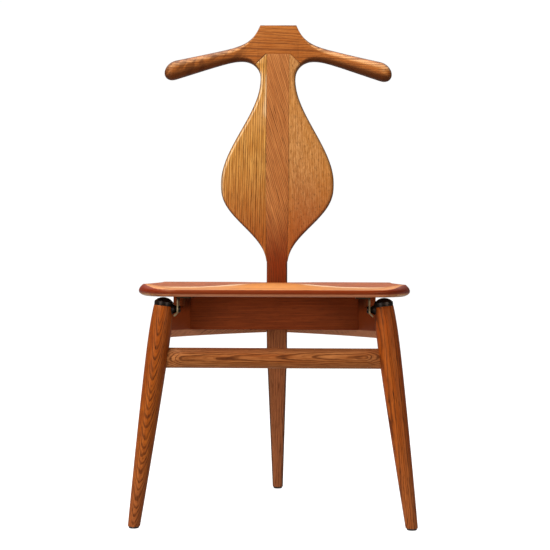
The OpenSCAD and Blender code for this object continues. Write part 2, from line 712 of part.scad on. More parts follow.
// Hinge bracket: flange under the seat, strap beside the leg, and a lip bent out under the spacer
module hinge_bracket(side) {
    lip_z = pivot_z - lip_drop;
    inner = strap_x - strap_t;
    color(brass) mirrored(side) difference() {
        union() {
            translate([strap_x - flange_w, pivot_y - strap_front, seat_bottom_z - strap_t])
                cube([flange_w, strap_front + strap_back, strap_t]);
            translate([inner, pivot_y - strap_front, pivot_z])
                cube([strap_t, strap_front + strap_back, pivot_drop]);
            intersection() {
                on_pivot(inner) cylinder(r = strap_front, h = strap_t);
                translate([inner, pivot_y - strap_front, lip_z])
                    cube([strap_t, 2 * strap_front, pivot_drop]);
            }
            translate([0, pivot_y + lip_len / 2, 0]) rotate([90, 0, 0]) linear_extrude(lip_len)
                polygon([[inner, lip_z], [strap_x, lip_z],
                    [strap_x + lip_run, lip_z - lip_run],
                    [strap_x + lip_run - strap_t * sin(45), lip_z - lip_run - strap_t * sin(45)],
                    [inner, lip_z - strap_t * tan(45 / 2)]]);
        }
        on_pivot(inner - bite) cylinder(d = pivot_d + 2 * play, h = strap_t + 2 * bite);
        for (y = screw_ys) translate([screw_x, y, seat_bottom_z - strap_t - eps]) {
            cylinder(d = wood_screw_d + 2 * fit, h = strap_t + bite);
            cylinder(d1 = 2 * wood_screw_d + 2 * fit, d2 = wood_screw_d + 2 * fit, h = wood_screw_d / 2);
        }
    }
}

module bracket_screws(side) {
    color(brass) mirrored(side) for (y = screw_ys)
        translate([screw_x, y, seat_bottom_z - strap_t]) union() {
            cylinder(d1 = 2 * wood_screw_d, d2 = wood_screw_d, h = wood_screw_d / 2);
            cylinder(d = wood_screw_d, h = strap_t + wood_screw_l);
        }
}

// Turned cone between the strap and the leg
module pivot_spacer(side) {
    color(black_brass) mirrored(side) difference() {
        on_pivot(spacer_x) cylinder(d1 = spacer_nose_d, d2 = spacer_d, h = spot_x - spacer_x);
        on_pivot(spacer_x - bite) cylinder(d = pivot_d + 2 * play, h = spot_x - spacer_x + 2 * bite);
    }
}

// Shoulder screw that the seat turns on, driven into the leg
module pivot_screw(side) {
    head_x = strap_x - strap_t - side_play;
    color(brass) mirrored(side) difference() {
        union() {
            on_pivot(head_x - pivot_head_t)
                cylinder(d1 = pivot_head_d - head_taper, d2 = pivot_head_d, h = pivot_head_t);
            on_pivot(head_x - bite) cylinder(d = pivot_d, h = spot_x - head_x + bite);
            on_pivot(spot_x - bite) cylinder(d = pivot_thread_d, h = pivot_thread_l + bite);
        }
        on_pivot(head_x - pivot_head_t - eps) translate([-slot_w / 2, -pivot_head_d, 0])
            cube([slot_w, 2 * pivot_head_d, slot_w]);
    }
}

front_leg(-1);  // front_leg_left
front_leg(1);  // front_leg_right
leg_cap(-1);  // leg_cap_left
leg_cap(1);  // leg_cap_right
foot_glide_front(-1);  // foot_glide_front_left
foot_glide_front(1);  // foot_glide_front_right
foot_glide_rear();
front_stretcher();
side_rail(-1);  // side_rail_left
side_rail(1);  // side_rail_right
box_front_board();
box_bottom_panel();
back_spine();
back_cheek(-1);  // back_cheek_left
back_cheek(1);  // back_cheek_right
hanger_yoke();
hanger_tenon();
seat_board(0);  // seat_board_front
seat_board(1);  // seat_board_second
seat_board(2);  // seat_board_third
seat_board(3);  // seat_board_rear
hinge_bracket(-1);  // hinge_bracket_left
hinge_bracket(1);  // hinge_bracket_right
bracket_screws(-1);  // bracket_screws_left
bracket_screws(1);  // bracket_screws_right
pivot_spacer(-1);  // pivot_spacer_left
pivot_spacer(1);  // pivot_spacer_right
pivot_screw(-1);  // pivot_screw_left
pivot_screw(1);  // pivot_screw_right
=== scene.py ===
import math
import bmesh
import bpy
from mathutils import Matrix, Vector


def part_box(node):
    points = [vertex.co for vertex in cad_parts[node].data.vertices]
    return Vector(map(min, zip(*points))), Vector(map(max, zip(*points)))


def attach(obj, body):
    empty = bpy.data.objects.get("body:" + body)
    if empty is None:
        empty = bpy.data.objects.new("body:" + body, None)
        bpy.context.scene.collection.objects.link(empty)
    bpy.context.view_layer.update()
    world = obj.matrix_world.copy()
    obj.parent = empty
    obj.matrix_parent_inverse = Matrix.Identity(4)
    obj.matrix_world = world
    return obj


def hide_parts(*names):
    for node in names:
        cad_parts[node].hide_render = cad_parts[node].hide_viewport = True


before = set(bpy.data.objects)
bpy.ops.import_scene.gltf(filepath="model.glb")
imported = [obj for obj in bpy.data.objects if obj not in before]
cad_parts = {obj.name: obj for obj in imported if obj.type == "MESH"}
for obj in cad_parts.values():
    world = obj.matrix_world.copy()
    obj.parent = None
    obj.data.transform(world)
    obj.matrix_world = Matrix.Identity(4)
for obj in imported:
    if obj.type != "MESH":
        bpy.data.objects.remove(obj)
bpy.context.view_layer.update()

# Three-legged valet chair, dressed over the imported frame. Metres, front faces -Y.

sides = {"left": -1, "right": 1}
seatBox = [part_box("seat_board_front")[0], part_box("seat_board_rear")[1]]
chair = {
    "hingeY": -0.2055,
    "hingeZ": 0.385,
    "seatUnder": seatBox[0].z,
    "seatRim": 0.433,
    "hangerTop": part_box("hanger_yoke")[1].z,
    "hangerJoint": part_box("back_spine")[1].z,
    "jointHalf": 0.024,
}


# ---- small helpers for working as by hand

def mix(a, b, share):
    return a + (b - a) * share


def between(low, high, value):
    return min(1, max(0, (value - low) / (high - low)))


def ease(share):
    return share * share * (3 - 2 * share)


def softEase(share):
    return share ** 3 * (share * (6 * share - 15) + 10)


def easeIn(low, high, value):
    return ease(between(low, high, value))


def smoothRow(rows, value):
    # a row of a table between its rows, on a smooth curve through them
    i = 0
    while i < len(rows) - 2 and value >= rows[i + 1][0]:
        i += 1
    slope = []
    for k in (i, i + 1):
        before, after = rows[max(0, k - 1)], rows[min(len(rows) - 1, k + 1)]
        slope.append([(b - a) / (after[0] - before[0]) for a, b in zip(before, after)])
    a, b = rows[i], rows[i + 1]
    step = b[0] - a[0]
    t = between(a[0], b[0], value)
    return [a[k] * (1 + 2 * t) * (1 - t) ** 2 + slope[0][k] * step * t * (1 - t) ** 2
            + b[k] * t * t * (3 - 2 * t) + slope[1][k] * step * t * t * (t - 1)
            for k in range(len(a))]


def objectMode():
    if bpy.context.mode != "OBJECT":
        bpy.ops.object.mode_set(mode="OBJECT")


def deselect():
    objectMode()
    bpy.ops.object.select_all(action="DESELECT")


def only(piece):
    deselect()
    piece.select_set(True)
    bpy.context.view_layer.objects.active = piece


def start(name, primitive, **settings):
    # adds a primitive with nothing else selected, under its name
    deselect()
    primitive(**settings)
    piece = bpy.context.object
    piece.name = name
    piece.data.name = name
    return piece


def edit(piece):
    only(piece)
    bpy.ops.object.mode_set(mode="EDIT")


def pickEdges(piece, test):
    # in edit mode, selects the edges whose two ends pass the test
    bpy.ops.mesh.select_mode(type="EDGE")
    bpy.ops.mesh.select_all(action="DESELECT")
    mesh = bmesh.from_edit_mesh(piece.data)
    for line in mesh.edges:
        if test(line.verts[0].co, line.verts[1].co):
            line.select_set(True)
    mesh.select_flush_mode()
    bmesh.update_edit_mesh(piece.data)


def reshape(piece, place):
    # sculpts by moving each vertex to its place
    objectMode()
    for v in piece.data.vertices:
        v.co = place(v.co.copy())
    piece.data.update()


def modify(piece, kind, **settings):
    only(piece)
    modifier = piece.modifiers.new(kind.title(), kind)
    for key, value in settings.items():
        setattr(modifier, key, value)
    bpy.ops.object.modifier_apply(modifier=modifier.name)


def cutWith(piece, cutter):
    modify(piece, "BOOLEAN", operation="DIFFERENCE", object=cutter, solver="EXACT")


def discard(piece):
    mesh = piece.data
    bpy.data.objects.remove(piece)
    bpy.data.meshes.remove(mesh)


# painted shade on edges turned from the front, and painted highlight on rounded front edges
edgeShadeAndHighlight = {
    "rim": (0.2, 0.55),       # turned this far from the front, an edge is darkest
    "flank": (0.8, 0.4),      # past this turn it weakens, to this share
    "pastBest": 0.6,          # what a painted highlight loses past its best turn
    "sideways": 0.12,         # less than this towards the front, nothing gets a painted highlight
}


def markRim(piece):
    # notes in the mesh how far each place is turned away from the front and back, where painted shade darkens the edges
    values = piece.data.attributes.new("rim", "FLOAT", "POINT")
    flankFrom, flankShare = edgeShadeAndHighlight["flank"]
    for v, value in zip(piece.data.vertices, values.data):
        away = 1 - abs(v.normal.y)
        value.value = easeIn(*edgeShadeAndHighlight["rim"], away) * mix(1, flankShare, easeIn(flankFrom, 1, away))


def markPaintedHighlight(piece, towards, rising, falling):
    # painted highlight on the front's rounded edges turned one way
    values = piece.data.attributes.new("slope", "FLOAT", "POINT")
    for v, value in zip(piece.data.vertices, values.data):
        turn = v.normal.dot(Vector(towards))
        highlight = easeIn(*rising, turn) * (1 - edgeShadeAndHighlight["pastBest"] * easeIn(*falling, turn))
        value.value = highlight * between(0, edgeShadeAndHighlight["sideways"], -v.normal.y)


def settle(piece, matrix=None):
    # its place goes into the mesh, and the object stays at the origin
    only(piece)
    if matrix is not None:
        piece.matrix_world = matrix
    bpy.ops.object.transform_apply(location=True, rotation=True, scale=True)


def outward(piece):
    edit(piece)
    bpy.ops.mesh.select_all(action="SELECT")
    bpy.ops.mesh.normals_make_consistent(inside=False)
    if bmesh.from_edit_mesh(piece.data).calc_volume(signed=True) < 0:
        bpy.ops.mesh.flip_normals()
    objectMode()


def mirrored(piece):
    # a copy of its own on the other side
    only(piece)
    bpy.ops.object.duplicate()
    twin = bpy.context.object
    bpy.ops.transform.resize(value=(-1, 1, 1), center_override=(0, 0, 0))
    settle(twin)
    outward(twin)
    return twin


def sliceOff(piece, point, normal):
    # cuts away what lies behind a plane and closes the cut
    edit(piece)
    bpy.ops.mesh.select_all(action="SELECT")
    bpy.ops.mesh.bisect(plane_co=point, plane_no=normal, use_fill=True, clear_inner=True)
    objectMode()


def polish(piece, angle=35):
    only(piece)
    bpy.ops.object.shade_smooth_by_angle(angle=math.radians(angle))


def dress(piece, material):
    piece.data.materials.clear()
    piece.data.materials.append(material)


def handOver(piece, body, slot, material, *nodes):
    dress(piece, material)
    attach(piece, body)
    if nodes:
        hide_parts(*nodes)
    return piece


def loft(name, around, stations, ringAt):
    # a cylinder cut into rings, each of which is then drawn to its own outline
    piece = start(name, bpy.ops.mesh.primitive_cylinder_add,
                  vertices=around, radius=1, depth=2, end_fill_type="NGON")
    edit(piece)
    pickEdges(piece, lambda a, b: abs(a.z - b.z) > 1)
    bpy.ops.mesh.subdivide(number_cuts=len(stations) - 2)
    objectMode()
    rings = [ringAt(s) for s in stations]

    def place(co):
        ring = rings[round((co.z + 1) / 2 * (len(stations) - 1))]
        turn = math.atan2(co.y, co.x) / math.tau * around
        return Vector(ring[round(turn) % around])

    reshape(piece, place)
    outward(piece)
    return piece


def board(name, axis, cuts):
    # a cube cut across one axis, ready to be drawn to the shape of a board
    piece = start(name, bpy.ops.mesh.primitive_cube_add, size=2)
    edit(piece)
    pickEdges(piece, lambda a, b: abs(a[axis] - b[axis]) > 1)
    bpy.ops.mesh.subdivide(number_cuts=cuts)
    return piece


def breakEdges(piece, width, segments=3):
    modify(piece, "BEVEL", width=width, segments=segments, limit_method="ANGLE", angle_limit=math.radians(50))
    polish(piece)


def cornered(halfWide, halfDeep, radii, around):
    # points round a rectangle whose four corners have their own radii, counter-clockwise
    steps = around // 4
    points = []
    for corner, (sx, sy) in enumerate(((1, 1), (-1, 1), (-1, -1), (1, -1))):
        r = min(radii[corner], halfWide * 0.999, halfDeep * 0.999)
        for k in range(steps):
            a = math.radians(90 * corner + 90 * k / (steps - 1))
            points.append((sx * (halfWide - r) + r * math.cos(a), sy * (halfDeep - r) + r * math.sin(a)))
    return points


# ---- shader nodes written as Python

class Wire:
    # one socket of a material, or a plain value on its way into one
    def __init__(self, tree, socket):
        self.tree = tree
        self.socket = socket

    def node(self, kind, settings, sockets, output=0):
        made = self.tree.nodes.new("ShaderNode" + kind)
        for key, value in settings.items():
            if key == "stops":
                ramp = made.color_ramp
                while len(ramp.elements) < len(value):
                    ramp.elements.new(1)
                for stop, (position, colour) in zip(ramp.elements, value):
                    stop.position = position
                    stop.color = (*colour, 1)
            else:
                setattr(made, key, value)
        for key, value in sockets.items():
            if isinstance(value, Wire):
                self.tree.links.new(value.socket, made.inputs[key])
            elif isinstance(value, tuple) and made.inputs[key].type == "RGBA":
                made.inputs[key].default_value = (*value, 1)
            else:
                made.inputs[key].default_value = value
        return Wire(self.tree, made.outputs[output])

    def maths(self, operation, first, second=0.0, clamp=False):
        return self.node("Math", {"operation": operation, "use_clamp": clamp}, {0: first, 1: second})

    def __add__(self, other):
        return self.maths("ADD", self, other)

    def __sub__(self, other):
        return self.maths("SUBTRACT", self, other)

    def __mul__(self, other):
        return self.maths("MULTIPLY", self, other)

    def __truediv__(self, other):
        return self.maths("DIVIDE", self, other)

    def __pow__(self, other):
        return self.maths("POWER", self, other)

    def __rsub__(self, other):
        return self.maths("SUBTRACT", other, self)

    __radd__ = __add__
    __rmul__ = __mul__

    def rise(self, low, high):
        # 0 below low, 1 above high, smooth in between
        return self.node("MapRange", {"interpolation_type": "SMOOTHSTEP"},
                         {"Value": self, "From Min": low, "From Max": high})

    def axis(self, number):
        return self.node("SeparateXYZ", {}, {0: self}, output=number)

    def attribute(self, name, output=2):
        # a value that was noted in the mesh
        return self.node("Attribute", {"attribute_name": name}, {}, output=output)

    def moved(self, place, turn=(0, 0, 0), scale=(1, 1, 1)):
        return self.node("Mapping", {}, {"Vector": self, "Location": place, "Rotation": turn, "Scale": scale})

    def noise(self, scale, detail=2.0, roughness=0.5):
        return self.node("TexNoise", {}, {"Vector": self, "Scale": scale, "Detail": detail,
                                          "Roughness": roughness})

    def noise1(self, scale):
        # noise along a single number
        return self.node("TexNoise", {"noise_dimensions": "1D"}, {"W": self, "Scale": scale, "Detail": 1.0})

    def blend(self, other, share, kind="MIX"):
        # this colour going over to another
        return self.node("Mix", {"data_type": "RGBA", "blend_type": kind},
                         {0: share, 6: self, 7: other}, output=2)


def newMaterial(name, **constants):
    material = bpy.data.materials.new(name)
    material.use_nodes = True
    shader = material.node_tree.nodes["Principled BSDF"]
    for key, value in constants.items():
        shader.inputs[key.replace("_", " ")].default_value = value
    place = material.node_tree.nodes.new("ShaderNodeTexCoord").outputs["Object"]
    return material, shader, Wire(material.node_tree, place)


def feed(shader, socket, wire):
    shader.id_data.links.new(wire.socket, shader.inputs[socket])


def colour(red, green, blue):
    # from the 0 to 255 of a paint picker to the linear numbers of a shader
    return tuple(((v / 255 + 0.055) / 1.055) ** 2.4 if v > 10 else v / 255 / 12.92 for v in (red, green, blue))


def woodMaterial(name, look):
    # ring-porous wood: dark pore bands round the tree's heart, dashes along the grain, broad drift in tone
    material, shader, place = newMaterial(name, Specular_IOR_Level=look["shine"], Specular_Tint=look["sheen"])
    along = Vector(look["along"]).to_track_quat("Z", "Y").to_euler()
    source = place.attribute("grain", 1) if look["bent"] else place
    grain = place.node("Mapping", {"vector_type": "TEXTURE"},
                       {"Vector": source, "Location": look["heart"], "Rotation": tuple(along)})

    def stretched(share):
        return grain.node("Mapping", {}, {"Vector": grain, "Scale": (1, 1, share)})

    drift = stretched(look["drawOut"])
    sway = drift.noise(look["swayScale"], 3.0, 0.5) - 0.5
    ripple = stretched(0.35).noise(look["rippleScale"], 2.0, 0.5) - 0.5
    distance = grain.node("VectorMath", {"operation": "LENGTH"}, {0: stretched(0)}, output=1)
    distance = distance + sway * look["sway"] + ripple * look["ripple"]
    years = (distance * 70).noise1(2.0)
    rings = distance / look["ringWidth"] + years * look["uneven"]
    ring = rings.maths("FRACT", rings)
    band = ring.rise(*look["bandRise"]) * (1 - ring.rise(0.88, 0.99))
    strength = stretched(0.12).noise(look["rippleScale"] * 1.5, 3.0, 0.6).rise(0.25, 0.6)
    band = band * (0.45 + 0.55 * strength)
    thin = rings * 2.7 + sway * 4
    thin = thin.maths("FRACT", thin).rise(0.55, 0.8) * 0.32
    band = band.maths("MAXIMUM", band, thin * strength)
    fibre = stretched(look["fibreStretch"]).noise(look["fibreScale"], 5.0, 0.62)
    dash = stretched(look["dashStretch"]).noise(look["dashScale"], 3.0, 0.6)
    pores = dash.rise(0.54, 0.66) * (0.4 + 0.6 * band)
    tone = stretched(0.3).noise(look["patchScale"], 2.0, 0.5).rise(0.32, 0.68)

    wood = grain.node("Mix", {"data_type": "RGBA"},
                      {0: fibre.rise(0.34, 0.66), 6: look["mid"], 7: look["light"]}, output=2)
    wood = wood.blend(look["warm"], tone * look["drift"])
    height = place.axis(2)
    # painted light and painted shade by height
    for low, high, shade, amount in look["aged"]:
        wood = wood.blend(shade, height.rise(low, high) * amount)
    # painted shade and painted light by height, only where the mesh marks it
    if "shaded" in look:
        shaded = place.attribute("shaded").rise(0.5, 0.9)
        for low, high, shade, amount in look["shaded"]:
            wood = wood.blend(shade, height.rise(low, high) * shaded * amount)
    # painted highlight where the mesh marks it: a paler colour, and a near-white one at its brightest
    if "crest" in look:
        slope = place.attribute("slope")
        wood = wood.blend(look["slope"], slope.rise(0.0, 0.5) * look["crestDepth"])
        wood = wood.blend(look["crest"], slope.rise(0.62, 0.9) * look["crestDepth"])
    wood = wood.blend(look["dark"], band * look["ringDepth"])
    wood = wood.blend(look["pore"], pores * look["poreDepth"])
    for normal, reach, fromSide, amount in look.get("joints", []):
        # the dark line of a glued joint, on one side of the chair
        off = place.node("VectorMath", {"operation": "DOT_PRODUCT"}, {0: place, 1: normal}, output=1) - reach
        near = 1 - off.maths("ABSOLUTE", off).rise(0.0003, 0.0022)
        sideways = place.axis(0) * math.copysign(1, fromSide)
        near = near * sideways.rise(abs(fromSide) - 0.0004, abs(fromSide) + 0.0004)
        wood = wood.blend(look["rim"], near * amount)
    # painted shade along edges turned from the front and under the hanger's arms, from the mesh's own values
    wood = wood.blend(look["rim"], place.attribute("rim") * 0.85)
    if "figure" in look:
        # cross bands where the fibres wave, from one place outward
        wave = grain.moved((0, 0, 0), turn=(look["figureTurn"], 0, 0)).moved((0, 0, 0), scale=(0.3, 0.3, 1))
        bands = wave.noise(look["figureScale"], 2.0, 0.5)
        left = place.axis(0) * -1
        wood = wood.blend(look["dark"], left.rise(0.05, 0.14) * look["leftShade"])
        wood = wood.blend(look["rim"], bands.rise(0.46, 0.6) * left.rise(*look["figure"]) * look["figureDepth"])
    feed(shader, "Base Color", wood)
    feed(shader, "Roughness", look["rough"] + (fibre - 0.5) * 0.16 + pores * 0.2 + band * 0.06)
    relief = fibre * 0.3 - pores * 0.6 - band * 0.2
    bump = grain.node("Bump", {}, {"Strength": look["bump"], "Distance": 0.0005, "Height": relief})
    feed(shader, "Normal", bump)
    return material


# ---- camera, lights, floor

print("camera and light")
view = {
    "place": (0.055, -2.541, 0.439),
    "lens": 86.45,
    "lookUp": 0.17,      # degrees
    "lookLeft": 1.287,
    "roll": -0.2,
}
deselect()
bpy.ops.object.camera_add(location=view["place"],
                          rotation=[math.radians(a) for a in (90 + view["lookUp"], view["roll"], view["lookLeft"])])
camera = bpy.context.object
camera.data.lens = view["lens"]
camera.data.clip_end = 60
bpy.context.scene.camera = camera
bpy.context.scene.view_settings.view_transform = "Standard"

softboxes = [
    {"name": "key", "place": (-2.4, -2.2, 3.7), "size": 1.9, "power": 225},
    {"name": "over", "place": (-0.2, 0.4, 3.4), "size": 1.6, "power": 62},
    {"name": "fillLeft", "place": (-2.0, -2.7, 0.6), "size": 1.4, "power": 34},
    {"name": "fillRight", "place": (2.2, -2.7, 0.6), "size": 1.4, "power": 34},
]
for box in softboxes:
    deselect()
    bpy.ops.object.light_add(type="AREA", location=box["place"])
    lamp = bpy.context.object
    lamp.name = box["name"]
    lamp.data.size = box["size"]
    lamp.data.energy = box["power"]
    lamp.rotation_euler = (Vector((0, 0, 0.55)) - lamp.location).to_track_quat("-Z", "Y").to_euler()

# a white cove behind the chair, a dim room in front of it
studio = bpy.data.worlds.new("studio")
studio.use_nodes = True
bpy.context.scene.world = studio
room = Wire(studio.node_tree, None)
rays = room.node("LightPath", {}, {})
towards = room.node("TexCoord", {}, {}, output=0)
dim = towards.axis(1).rise(-0.1, 0.6) * (towards.axis(2).rise(0.34, 0.65) * 1.5 + 0.1) + 0.04
glow = room.node("Mix", {"data_type": "FLOAT"}, {0: rays, 2: dim, 3: 1.02})
backdrop = studio.node_tree.nodes["Background"]
studio.node_tree.links.new(glow.socket, backdrop.inputs["Strength"])
backdrop.inputs["Color"].default_value = (1, 1, 1, 1)

floor = start("floor", bpy.ops.mesh.primitive_plane_add, size=60)
floorMaterial, floorShader, floorPlace = newMaterial(
    "paleFloor", Base_Color=(0.2, 0.2, 0.2, 1), Roughness=0.9, Emission_Color=(1, 1, 1, 1))
floorRays = floorPlace.node("LightPath", {}, {})
feed(floorShader, "Emission Strength", floorRays * 0.9 + 0.10)
floor.data.materials.append(floorMaterial)


# ---- woods and metals

print("materials")
legWood = {
    "light": colour(172, 86, 20), "mid": colour(140, 64, 14), "warm": colour(142, 56, 10),
    "dark": colour(78, 30, 7), "pore": colour(54, 20, 6),
    "drawOut": 0.25, "swayScale": 14, "sway": 0.006,
    "rippleScale": 120, "ripple": 0.0014, "ringWidth": 0.0034, "uneven": 1.2, "ringDepth": 0.8,
    "fibreScale": 330, "fibreStretch": 0.05, "dashScale": 520, "dashStretch": 0.12, "poreDepth": 0.5,
    "patchScale": 14, "drift": 0.4, "rough": 0.44, "shine": 0.3, "sheen": (1, 0.62, 0.3, 1),
    "bump": 0.4, "bandRise": (0.42, 0.72), "rim": colour(62, 27, 12),
    # painted light near the floor: paler towards the feet
    "aged": [(0.20, 0.02, colour(164, 98, 58), 0.4)], "bent": False,
}


def wood(name, base, **changes):
    return woodMaterial(name, {**base, **changes})


lean = {"side": math.radians(7.24), "back": math.radians(2.3)}
legOak = {
    # the left leg's face is cut almost along the rings, the right one's across them
    "left": wood("legOakLeft", legWood, heart=(-0.197, -0.229, 0.385), along=(0.127, 0.185, 1),
                 ringWidth=0.0027, ripple=0.0018, rippleScale=170, poreDepth=0.65),
    "right": wood("legOakRight", legWood, heart=(0.285, -0.16, 0.385), along=(-0.118, 0.04, 1),
                  ringDepth=0.75, ringWidth=0.0030, light=colour(170, 82, 20), poreDepth=0.8, bandRise=(0.45, 0.8),
                  dashScale=420, ripple=0.003, drift=0.7, patchScale=30),
}
stretcherOak = wood("stretcherOak", legWood, along=(1, 0.035, 0.012), heart=(0.06, -0.232, 0.302),
                    ringWidth=0.0026, sway=0.009, light=colour(180, 112, 60), mid=colour(138, 76, 34),
                    # painted shade on the top, under the seat, and painted light on the underside
                    ringDepth=0.85, aged=[(0.305, 0.316, colour(100, 54, 34), 0.55),
                                           (0.292, 0.283, colour(196, 124, 74), 0.6)])
spineOak = wood("spineOak", legWood, light=colour(196, 128, 70), mid=colour(166, 100, 52),
                warm=colour(164, 90, 38), dark=colour(70, 24, 5), pore=colour(70, 26, 7),
                bent=True, along=(0, 0.01, 1), heart=(-0.16, 0.07, 0.66),
                ringWidth=0.0030, ringDepth=0.72, uneven=0.8, bandRise=(0.5, 0.78),
                ripple=0.0016, rippleScale=150, sway=0.010, swayScale=9,
                dashScale=430, dashStretch=0.07, poreDepth=0.85,
                # painted shade: darker and redder from the middle of the back down to the seat; painted light below the
                # seat, towards the foot
                aged=[(0.60, 0.46, colour(119, 34, 3), 0.93), (0.40, 0.32, colour(190, 112, 68), 0.9)])
cheekWood = {**legWood, "bent": True, "light": colour(214, 156, 80), "mid": colour(172, 112, 46),
             "warm": colour(186, 118, 42), "dark": colour(84, 42, 12), "pore": colour(66, 32, 11),
             "ringWidth": 0.0044, "ringDepth": 0.9, "uneven": 0.8, "bandRise": (0.58, 0.8),
             "sway": 0.003, "fibreScale": 420, "poreDepth": 0.7,
             # painted shade: darker towards the seat
             "aged": [(0.70, 0.50, colour(150, 66, 20), 0.75)]}
cheekOak = {
    "left": wood("cheekOakLeft", cheekWood, along=(0.02, 0.01, 1), heart=(-0.33, 0.005, 0.6),
                 # painted highlight on the left edge and beside the neck: a paler colour, near white at its brightest
                 slope=colour(214, 158, 92), crest=colour(244, 214, 170), crestDepth=0.45),
    "right": wood("cheekOakRight", cheekWood, along=(-0.03, 0.05, 1), heart=(0.3, 0.035, 0.6),
                  light=colour(198, 140, 82), mid=colour(156, 100, 50), ringDepth=0.3, dashStretch=0.4,
                  dashScale=380, fibreStretch=0.14, poreDepth=0.75),
}
slant = 0.7071       # of the mitred joints between the cheeks and the hanger
yokeOak = wood("yokeOak", legWood, light=colour(188, 116, 54), mid=colour(156, 86, 32), warm=colour(150, 74, 24),
               dark=colour(110, 56, 22), pore=colour(92, 44, 18), along=(1, 0.08, 0.02),
               heart=(0, 0.02, 1.06), ringWidth=0.0042, ringDepth=0.8, sway=0.006, swayScale=20, drawOut=0.4,
               figure=(0.04, 0.09), figureScale=110, figureDepth=0.5, figureTurn=-0.6, leftShade=0.4,
               rough=0.42, sheen=(1, 0.55, 0.25, 1), bump=0.06, aged=[],
               # painted highlight along the arms' upper side and on the right arm's tip
               slope=colour(200, 132, 70), crest=colour(226, 168, 112), crestDepth=0.6,
               joints=[((-slant, 0, slant), (chair["hangerJoint"] + chair["jointHalf"]) * slant,
                        -chair["jointHalf"], 0.85),
                       ((slant, 0, slant), (chair["hangerJoint"] + chair["jointHalf"]) * slant,
                        chair["jointHalf"], 0.25)])
boxTeak = wood("boxTeak", legWood, light=colour(142, 60, 24), mid=colour(120, 47, 18), warm=colour(124, 46, 17),
               dark=colour(94, 36, 12), pore=colour(76, 28, 9), along=(1, 0, 0.01), heart=(0, 0.02, 0.2),
               ringWidth=0.0032, ringDepth=0.35, rough=0.42, aged=[])
railTeak = wood("railTeak", legWood, light=colour(150, 66, 26), mid=colour(130, 54, 20), warm=colour(132, 52, 18),
                dark=colour(94, 36, 12), pore=colour(76, 28, 9), along=(0.1, 1, 0.01), heart=(0, 0.02, 0.2),
                ringWidth=0.0032, ringDepth=0.55, poreDepth=0.6, rough=0.42,
                # painted shade near the top of the inner face, painted light along its lower edge
                aged=[], shaded=[(0.374, 0.398, colour(40, 15, 7), 0.8), (0.3475, 0.3445, colour(216, 144, 102), 0.95)])
seatTeak = [
    wood(f"seatTeak{i}", legWood, light=colour(178, 94, 42), mid=colour(154, 72, 28), warm=colour(160, 70, 24),
         dark=colour(118, 50, 20), pore=colour(92, 36, 14), along=(1, 0.01 * i, 0.012),
         heart=(0.05 * i, -0.25 + 0.09 * i, 0.36 - 0.02 * i), ringWidth=0.0052, ringDepth=0.4, rough=0.35,
         shine=0.32, sway=0.01, swayScale=7, sheen=(1, 0.66, 0.36, 1), bump=0.12,
         # painted highlight on the front slope, near white along the crest
         slope=colour(198, 128, 62), crest=colour(255, 225, 186), crestDepth=0.88, aged=[],
         # painted shade on the front edge, and painted light on its low line
         shaded=[(1, 0.5, colour(116, 29, 2), 0.98), (0.4130, 0.4108, colour(230, 150, 104), 0.78)])
    for i in range(4)
]


def metalMaterial(name, tint, shade, metallic, rough, shadedAbove=None):
    material, shader, place = newMaterial(name, Metallic=metallic)
    worn = place.noise(90.0, 4.0, 0.6).rise(0.35, 0.7)
    brushed = place.moved((0, 0, 0), scale=(1, 1, 0.1)).noise(900.0, 2.0, 0.5)
    base = place.node("Mix", {"data_type": "RGBA"}, {0: worn, 6: shade, 7: tint}, output=2)
    # painted shade above a given height
    if shadedAbove:
        base = base.blend(shadedAbove[2], place.axis(2).rise(shadedAbove[0], shadedAbove[1]) * 0.9)
    feed(shader, "Base Color", base)
    feed(shader, "Roughness", rough + (brushed - 0.5) * 0.2 + worn * 0.08)
    bump = place.node("Bump", {}, {"Strength": 0.15, "Distance": 0.0002, "Height": brushed + worn})
    feed(shader, "Normal", bump)
    return material


blackBrass = metalMaterial("blackBrass", colour(52, 36, 24), colour(20, 13, 9), 0.7, 0.34)
# painted shade on the plate under the seat
agedBrass = metalMaterial("agedBrass", colour(196, 172, 130), colour(140, 118, 84), 0.8, 0.3,
                          (0.398, 0.404, colour(46, 32, 22)))
glideBlack = metalMaterial("glideBlack", colour(60, 54, 48), colour(34, 30, 27), 0.1, 0.5)


# ---- front legs, caps and stretcher

print("front legs")
leg = {
    "footX": 0.2445, "footY": -0.221,
    "footRadius": 0.01065, "bellyRadius": 0.01965, "bellyHeight": 0.320, "lowerCurve": 1.38,
    "topRadius": 0.0172, "topHeight": 0.3905, "upperCurve": 2.6,
    "floorGap": 0.003, "under": 0.006, "topBevel": 0.0006, "footBevel": 0.0014, "stations": 46, "around": 64,
}
spot = {"x": 0.1802, "radius": 0.0108, "depth": 0.04, "around": 64}
cap = {
    "radius": 0.017, "domeRadius": 0.0213, "domeDrop": 0.0055, "rings": 16, "centre": 0.0002,
    "lip": [(0.0006, 0), (0, 0.0005), (0, 0.0016), (0.0005, 0.0020), (0.0005, 0.0024), (0, 0.0028)],  # inset, height
}


def legRadius(z):
    if z < leg["bellyHeight"]:
        share = max(0, (leg["bellyHeight"] - z) / leg["bellyHeight"])
        return leg["bellyRadius"] - (leg["bellyRadius"] - leg["footRadius"]) * share ** leg["lowerCurve"]
    share = (z - leg["bellyHeight"]) / (leg["topHeight"] - leg["bellyHeight"])
    return leg["bellyRadius"] - (leg["bellyRadius"] - leg["topRadius"]) * share ** leg["upperCurve"]


def legX(z):
    return leg["footX"] - z * math.tan(lean["side"])


def legY(z):
    return leg["footY"] + z * math.tan(lean["back"])


def onLeg(side, z=0):
    direction = Vector((-side * math.tan(lean["side"]), math.tan(lean["back"]), 1))
    return Matrix.LocRotScale(Vector((side * legX(z), legY(z), z)), direction.to_track_quat("Z", "Y"), None)


